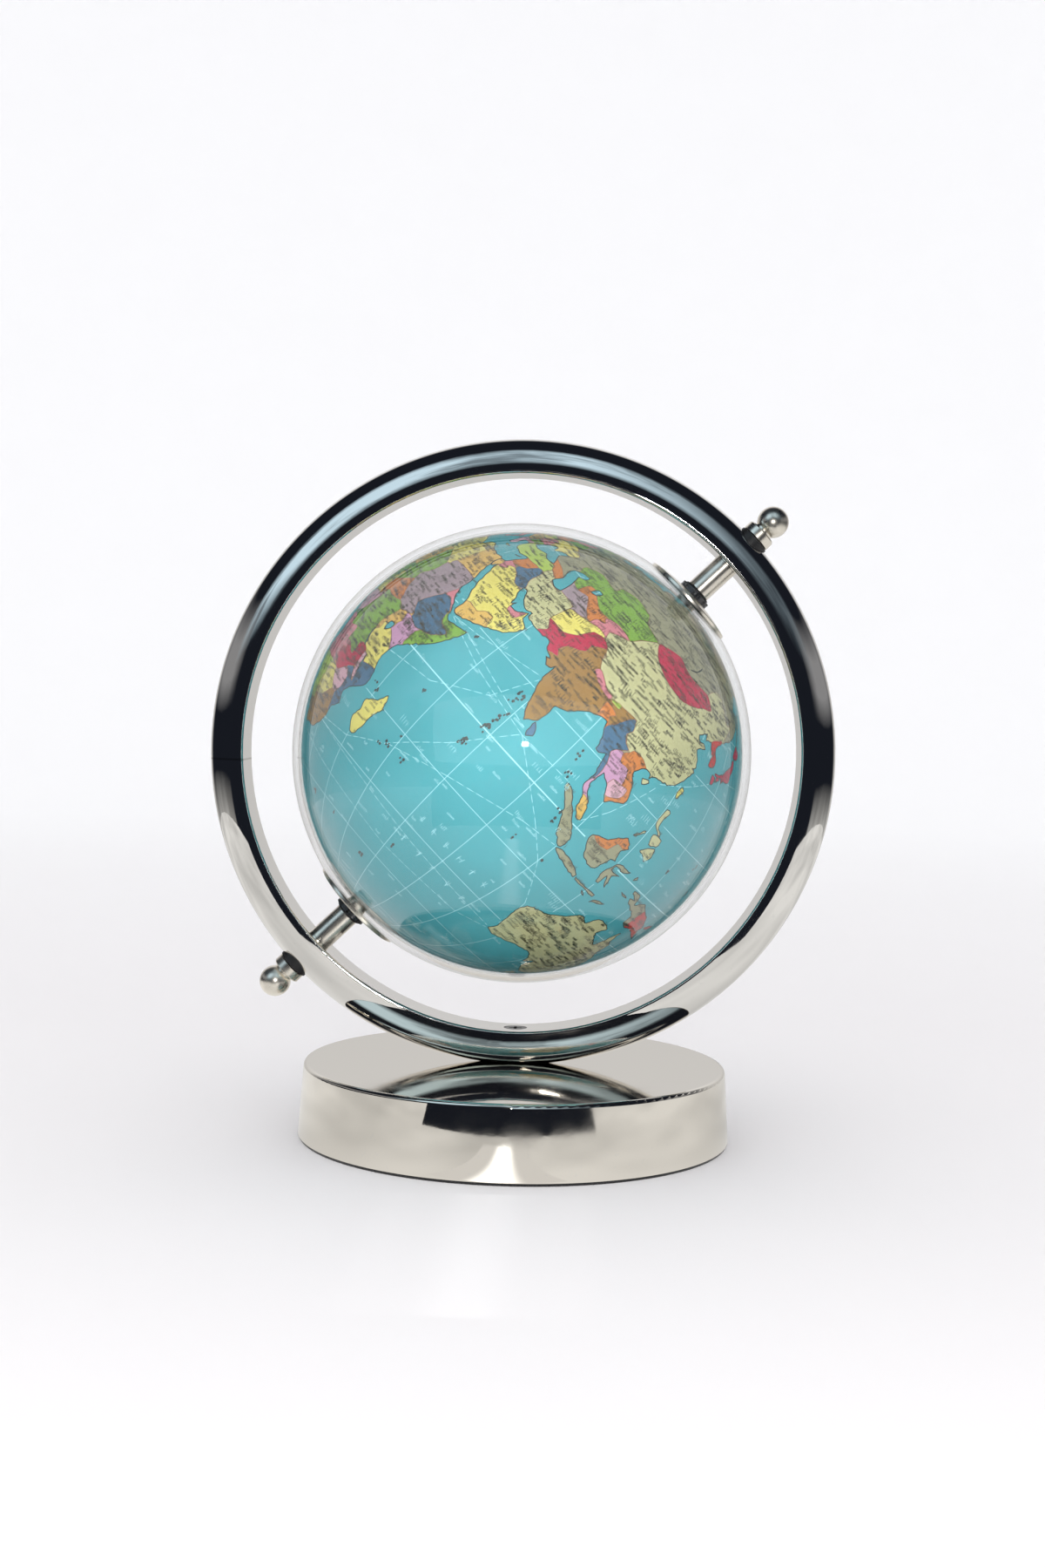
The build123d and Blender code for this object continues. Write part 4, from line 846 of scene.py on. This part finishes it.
labelSet = {
    "landWords": 4600, "seaWords": 480, "height": 0.7 * mm, "stroke": 0.11 * mm, "gap": 0.32 * mm, "lift": 1.3,
    "seed": 21, "bigStroke": 0.15 * mm, "sizes": (0.8, 0.9, 1.0, 1.0, 1.2, 1.6, 2.4),
    # longitude, latitude and number of marks of each wide-set row in the open oceans
    "wideRows": ((78, -27, 6), (78, -34.5, 5), (-160, 2, 7), (-150, -6, 5), (-42, 30, 8), (-38, 23, 5)),
    "wideReach": 24,
}


def drawWords(target, count, onLand, chance):
    # unreadable print: short rows of upright ticks and bars along the parallels
    lift, stroke = labelSet["lift"], labelSet["stroke"]
    xs = np.array([chance.uniform(-180, 180) for _ in range(count * 4)])
    ys = np.array([math.degrees(math.asin(chance.uniform(-0.985, 0.985))) for _ in range(count * 4)])
    perDegree = math.radians(1) * (mapSet["paperRadius"] + mapSet["inkRise"] * lift)
    letterRun = np.array([chance.randint(4, 11) for _ in xs])
    steps = labelSet["gap"] / (perDegree * np.maximum(0.15, np.cos(np.radians(ys))))
    starts = (inkOf(xs, ys) != 0) == onLand
    ends = (inkOf(np.minimum(180, xs + steps * letterRun), ys) != 0) == onLand
    for i in np.where(starts)[0][:count]:
        x, y, advance = xs[i], ys[i], steps[i]
        letters = int(letterRun[i]) if ends[i] else 3
        size = chance.choice(labelSet["sizes"])
        letters = max(2, round(letters / size ** 0.7))
        advance *= size
        for k in range(letters):
            tall = size * labelSet["height"] * chance.choice((0.6, 0.7, 1.0)) / perDegree
            here = x + k * advance
            drawStroke(target, (here, y), (here, y + tall), stroke, lift)
            if chance.random() < 0.7:
                level = y + tall * chance.choice((0.1, 0.5, 0.9))
                drawStroke(target, (here, level), (here + advance * 0.7, level), stroke * 0.8, lift)


def drawWideRows(target, chance):
    width = labelSet["bigStroke"]
    for start, latitude, count in labelSet["wideRows"]:
        for k in range(count):
            x = start + k * labelSet["wideReach"] / (count - 1)
            for _ in range(2):
                side, low = chance.uniform(-0.6, 0.6), chance.uniform(-0.3, 0.3)
                lean = chance.uniform(-0.5, 0.5)
                drawStroke(target, (x + side, latitude + low), (x + side + lean, latitude + 1.7), width)
            end = (x + 0.7, latitude + chance.uniform(0.4, 1.5))
            drawStroke(target, (x - 0.7, latitude + 0.9), end, width)


def drawIslets(target, chance):
    radius = mapSet["paperRadius"] + mapSet["inkRise"]
    for x, y in readPairs(islets):
        for _ in range(chance.randint(2, 4)):
            size = chance.uniform(0.25, 0.5)
            cx, cy = x + chance.uniform(-0.7, 0.7), y + chance.uniform(-0.8, 0.8)
            wide = size / max(0.3, math.cos(math.radians(cy)))
            points, faces = target
            first = len(points)
            for k in range(6):
                a = math.radians(60 * k)
                reach = wide * math.cos(a) * chance.uniform(0.6, 1)
                points.append(onGlobe(cx + reach, cy + size * math.sin(a), radius))
            faces.append(tuple(first + k for k in range(6)))


inkSet = {
    "map_coast_ink": srgb(34, 46, 44), "map_border_ink": srgb(132, 92, 70),
    "map_pale_ink": srgb(150, 204, 210), "map_word_ink": srgb(46, 46, 34),
}


def inkMaterial(name, color):
    made, tree, shader = newMaterial(name)
    wear = useGroup(tree, fineGrain, {
        "grainScale": 700.0, "detail": 3.0, "breakup": 0.6, "baseRough": 0.45, "roughSwing": 0.05,
        "darkColor": color, "paleColor": tuple(min(1.0, c * 1.5 + 0.02) for c in color[:3]) + (1.0,),
    })
    connect(tree, shader, {"Base Color": wear["Color"], "Roughness": wear["Roughness"]})
    return made


makePaper()
printed = {name: ([], []) for name in inkSet}
coastPrint, borderPrint, palePrint, wordPrint = printed.values()
drawOutlines(coastPrint, borderPrint)
drawGraticule(palePrint)
drawRoutes(palePrint)
wordChance = random.Random(labelSet["seed"])
drawWords(wordPrint, labelSet["landWords"], True, wordChance)
drawWords(palePrint, labelSet["seaWords"], False, wordChance)
drawWideRows(palePrint, wordChance)
drawIslets(coastPrint, wordChance)
for name, (points, faces) in printed.items():
    material = inkMaterial(name.replace("_", ""), inkSet[name])
    radialNormals(globePiece(name, points, faces, material))
    print(name, len(faces), "strokes")

shellSet = {
    "outerRadius": 63.5 * mm, "innerRadius": 61.8 * mm, "holeRadius": 3.1 * mm,
    "rings": 96, "segments": 192, "ior": 1.49, "tint": (0.97, 0.985, 0.98, 1),
}


def clearMaterial():
    made, tree, shader = newMaterial("clearAcrylic")
    where = objectSpot(tree)
    connect(tree, shader, {
        "Base Color": shellSet["tint"], "Transmission Weight": 1.0, "IOR": shellSet["ior"],
        "Roughness": spread(tree, noiseAt(tree, where, 40.0, 4.0, 0.6), 0.5, 0.8, 0.0, 0.03),
        "Normal": bumpOf(tree, noiseAt(tree, where, 30.0, 1.0, 0.4), 0.1, 0.02 * mm),
    })
    # lamps reach the map through the shell
    clear = addNode(tree, "ShaderNodeBsdfTransparent").outputs[0]
    shadowRay = addNode(tree, "ShaderNodeLightPath").outputs["Is Shadow Ray"]
    swap = addNode(tree, "ShaderNodeMixShader", {0: shadowRay, 1: shader.outputs[0], 2: clear})
    connect(tree, tree.nodes["Material Output"], {"Surface": swap.outputs[0]})
    return made


def ringFaces(rings, segments, first=0, closed=False):
    # quads between rings of points that follow one another
    faces = []
    for r in range(rings if closed else rings - 1):
        low, high = first + r * segments, first + (r + 1) % rings * segments
        for k in range(segments):
            nextK = (k + 1) % segments
            faces.append((low + k, high + k, high + nextK, low + nextK))
    return faces


def makeClearShell():
    # outer wall from north hole to south hole, then the inner wall back again
    outline = []
    for radius, order in ((shellSet["outerRadius"], 1), (shellSet["innerRadius"], -1)):
        low = math.asin(shellSet["holeRadius"] / radius)
        share = (math.pi - 2 * low) / shellSet["rings"]
        outline += [(radius, low + share * i) for i in range(shellSet["rings"] + 1)][::order]
    points = []
    for radius, angle in outline:
        for k in range(shellSet["segments"]):
            level = aroundAxis(2 * math.pi * k / shellSet["segments"])
            points.append(globeCentre + (northWay * math.cos(angle) + level * math.sin(angle)) * radius)
    faces = ringFaces(len(outline), shellSet["segments"], closed=True)
    globePiece("clear_ball", points, faces, clearMaterial(),
               ["north_clear_shell", "south_clear_shell"])


makeClearShell()
print("clear shell made")


def glowOut(made, tree, color, strength):
    # lights only what mirrors it, and is never sampled as a lamp
    glow = addNode(tree, "ShaderNodeEmission", {"Color": color, "Strength": strength})
    connect(tree, tree.nodes["Material Output"], {"Surface": glow.outputs[0]})
    made.cycles.emission_sampling = "NONE"
    return made


def onlyMirrored(made):
    for kind in ("camera", "diffuse", "transmission", "volume_scatter", "shadow"):
        setattr(made, "visible_" + kind, False)


# painted light and shade: the floor is coloured greyer near the globe and paler far out, where it turns up into
# the bowl
floorSet = {
    "shadedNearColor": srgb(240, 238, 239), "litFarColor": srgb(254, 254, 255), "segments": 96,
    "flatRings": (0.2, 0.34, 0.5, 0.8, 1.2), "bowlRadius": 1.3, "bowlRings": 12, "top": 3.0,
}


def floorMaterial():
    made, tree, shader = newMaterial("paleFloor")
    where = objectSpot(tree)
    reach = addNode(tree, "ShaderNodeVectorMath", {0: where}, operation="LENGTH").outputs["Value"]
    mottle = spread(tree, noiseAt(tree, where, 6.0, 2.0, 0.5), 0.3, 0.7, 0.0, 0.04)
    # painted light and shade: greyer close to the globe, paler with distance, plus a faint random mottle
    paintedLightAndMottle = mathOf(tree, "ADD", spread(tree, reach, 0.25, 1.3, 0.0, 0.96), mottle)
    connect(tree, shader, {
        "Base Color": mixOf(tree, paintedLightAndMottle, floorSet["shadedNearColor"], floorSet["litFarColor"]),
        "Roughness": 0.7, "Specular IOR Level": 0.1,
    })
    return made


def makeFloor():
    # flat for a metre, then turned up into a pale bowl that closes the view on every side
    bowl, count, segments = floorSet["bowlRadius"], floorSet["bowlRings"], floorSet["segments"]
    edge = floorSet["flatRings"][-1]
    rows = [(radius, 0.0) for radius in floorSet["flatRings"]]
    for k in range(1, count + 1):
        angle = math.radians(90 * k / count)
        rows.append((edge + bowl * math.sin(angle), bowl * (1 - math.cos(angle))))
    rows.append((edge + bowl, floorSet["top"]))
    points = [(0, 0, 0)]
    for radius, height in rows:
        for k in range(segments):
            a = 2 * math.pi * k / segments
            points.append((radius * math.cos(a), radius * math.sin(a), height))
    faces = [(0, 1 + k, 1 + (k + 1) % segments) for k in range(segments)]
    faces += ringFaces(len(rows), segments, first=1)
    made = meshObject("studioFloor", points, faces, floorMaterial(), True)
    made.visible_glossy = False


makeFloor()

tableSet = {
    "near": 0.2, "far": 0.45, "darkSector": 39.0, "color": srgb(243, 242, 240), "strength": 0.82,
    "streakLeft": -0.03, "streakRight": 0.022, "streakNear": -0.165, "streakFar": -0.068,
    "streakMiddle": 4 * mm, "streakCore": 1 * mm, "streakEdge": 13 * mm,
    "streakDim": (0.76, 0.75, 0.74, 1), "streakBright": (2.4, 2.4, 2.36, 1),
}


def tableMaterial():
    made, tree, _ = newMaterial("tableGlow")
    strength = tableSet["strength"]
    cloud = noiseAt(tree, objectSpot(tree), 7.0, 2.0, 0.5)
    uneven = spread(tree, cloud, 0.35, 0.65, strength * 0.8, strength * 1.15)
    return glowOut(made, tree, tableSet["color"], uneven)


def streakMaterial():
    made, tree, _ = newMaterial("streakGlow")
    across = addNode(tree, "ShaderNodeSeparateXYZ", {0: objectSpot(tree)}).outputs["X"]
    off = mathOf(tree, "ABSOLUTE", mathOf(tree, "ADD", across, tableSet["streakMiddle"]))
    core, edge = tableSet["streakCore"], tableSet["streakEdge"]
    fall = spread(tree, off, core, edge, 1.0, 0.0, interpolation_type="SMOOTHERSTEP")
    return glowOut(made, tree, mixOf(tree, fall, tableSet["streakDim"], tableSet["streakBright"]), 1.0)


def makeTableMirror():
    # the part of the table that shows in the plating: it ends close in front and runs far out elsewhere
    half = math.radians(tableSet["darkSector"])
    turns = [(tableSet["near"], a) for a in np.linspace(half, -half, 13)]
    turns += [(tableSet["far"], a) for a in np.linspace(-half, half - 2 * math.pi, 25)]
    rim = [(reach * math.sin(a), -reach * math.cos(a), -0.4 * mm) for reach, a in turns]
    onlyMirrored(meshObject("tableMirror", rim, [tuple(range(len(rim)))], tableMaterial(), False))
    # the flash lying on the table as a bright streak
    left, right = tableSet["streakLeft"], tableSet["streakRight"]
    near, far = tableSet["streakNear"], tableSet["streakFar"]
    corners = [(left, near, 0.0), (right, near, 0.0), (right, far, 0.0), (left, far, 0.0)]
    onlyMirrored(meshObject("flashStreak", corners, [(0, 1, 2, 3)], streakMaterial(), False))


makeTableMirror()

surroundSet = {
    "radius": 3.0, "darkRoom": (0.010, 0.012, 0.018, 1), "wall": (0.30, 0.30, 0.31, 1),
    "backdropLow": (0.60, 0.59, 0.58, 1), "backdropHigh": (0.95, 0.95, 0.96, 1),
    "window": (0.66, 0.86, 1.0, 1), "groundDim": (0.52, 0.51, 0.49, 1), "groundPale": (0.86, 0.86, 0.84, 1),
}


def surroundMaterial():
    made, tree, _ = newMaterial("surroundGlow")
    away = addNode(tree, "ShaderNodeVectorMath", {0: objectSpot(tree)}, operation="NORMALIZE").outputs["Vector"]
    parts = addNode(tree, "ShaderNodeSeparateXYZ", {0: away}).outputs
    x, y, z = parts["X"], parts["Y"], parts["Z"]
    sideways = mathOf(tree, "ABSOLUTE", x)

    def rise(value, start, end, low=0.0, high=1.0):
        return spread(tree, value, start, end, low, high)

    def both(first, second):
        return mathOf(tree, "MULTIPLY", first, second)

    # dark room in front, pale backdrop behind
    backdrop = mixOf(tree, rise(z, 0.05, 0.6), surroundSet["backdropLow"], surroundSet["backdropHigh"])
    color = mixOf(tree, rise(y, 0.5, 0.78), surroundSet["darkRoom"], backdrop)
    # low grey walls on both sides, so that flat plated faces don't go black from there
    wallBand = both(rise(z, 0.08, 0.18), rise(z, 0.3, 0.45, 1.0, 0.0))
    color = mixOf(tree, both(wallBand, rise(sideways, 0.7, 0.9, 0.0, 0.9)), color, surroundSet["wall"])
    # a cool band across the top, broken up like light from a window on a ceiling
    band = both(rise(y, -0.86, -0.76), rise(y, -0.46, -0.3, 1.0, 0.0))
    high = both(rise(z, 0.22, 0.42), rise(x, 0.1, 0.6, 1.0, 0.15))
    broken = rise(noiseAt(tree, away, 3.2, 3.0, 0.6), 0.34, 0.52, 0.3, 1.0)
    color = mixOf(tree, both(both(band, high), broken), color, surroundSet["window"])
    # under the horizon it is pale at the sides and dark straight ahead, past the table's edge
    lit = mathOf(tree, "MAXIMUM", rise(sideways, 0.70, 0.74), rise(y, -0.1, 0.0))
    haze = rise(noiseAt(tree, away, 2.2, 2.0, 0.5), 0.35, 0.65)
    ground = mixOf(tree, haze, surroundSet["groundDim"], surroundSet["groundPale"])
    color = mixOf(tree, both(rise(z, -0.34, -0.1, 1.0, 0.0), lit), color, ground)
    return glowOut(made, tree, color, 1.0)


def makeSurround():
    bpy.ops.mesh.primitive_uv_sphere_add(segments=64, ring_count=32, radius=surroundSet["radius"])
    ball = bpy.context.object
    ball.name = "surround"
    ball.location.z = globeCentre.z
    ball.data.materials.append(surroundMaterial())
    onlyMirrored(ball)


makeSurround()
print("table and surround made")

middle = (0, 0, globeCentre.z)
# place, aim, width and height, watts, colour, and whether the plating mirrors it
lampSet = {
    "overheadSoftbox": ((-0.35, -0.5, 1.1), middle, (0.9, 0.9), 0.35, (1, 1, 1), False),
    "frontFill": ((0.0, -1.0, 0.33), (0, 0, 0.09), (1.8, 0.62), 3.3, (1, 1, 1), False),
    "cameraFlash": ((0.035, -0.62, globeCentre.z + 0.065), middle, (0.03, 0.02), 0.6, (1.0, 0.99, 0.97), True),
}
for name, (place, aim, size, power, color, mirrored) in lampSet.items():
    lamp = bpy.data.lights.new(name, "AREA")
    lamp.shape = "RECTANGLE"
    lamp.size, lamp.size_y = size
    lamp.energy = power
    lamp.color = color
    made = newObject(name, lamp)
    made.location = place
    made.rotation_euler = (Vector(aim) - Vector(place)).to_track_quat("-Z", "Y").to_euler()
    made.visible_glossy = mirrored

world = bpy.data.worlds.new("paleStudio")
bpy.context.scene.world = world
world.use_nodes = True
sky = world.node_tree.nodes["Background"]
connect(world.node_tree, sky, {"Color": (0.985, 0.985, 0.99, 1), "Strength": 1.12})

# the viewer stands a little right of the globe, slightly above its centre, and tips the head a little
viewSet = {
    "distance": 0.550, "right": 17.8 * mm, "above": 15.8 * mm,
    "aimRight": 0.4 * mm, "aimDrop": 8.5 * mm, "roll": 1.36, "lens": 45.4, "sensor": 36.0,
}
eye = Vector((viewSet["right"], -viewSet["distance"], globeCentre.z + viewSet["above"]))
aim = Vector((viewSet["aimRight"], 0, globeCentre.z - viewSet["aimDrop"]))
lens = bpy.data.cameras.new("viewer")
lens.lens = viewSet["lens"]
lens.sensor_width = viewSet["sensor"]
viewer = newObject("viewer", lens)
turned = (aim - eye).to_track_quat("-Z", "Y").to_matrix().to_4x4()
viewer.matrix_world = Matrix.Translation(eye) @ turned @ Matrix.Rotation(math.radians(viewSet["roll"]), 4, "Z")
bpy.context.scene.camera = viewer
bpy.context.scene.view_settings.view_transform = "Standard"
print("stage set")
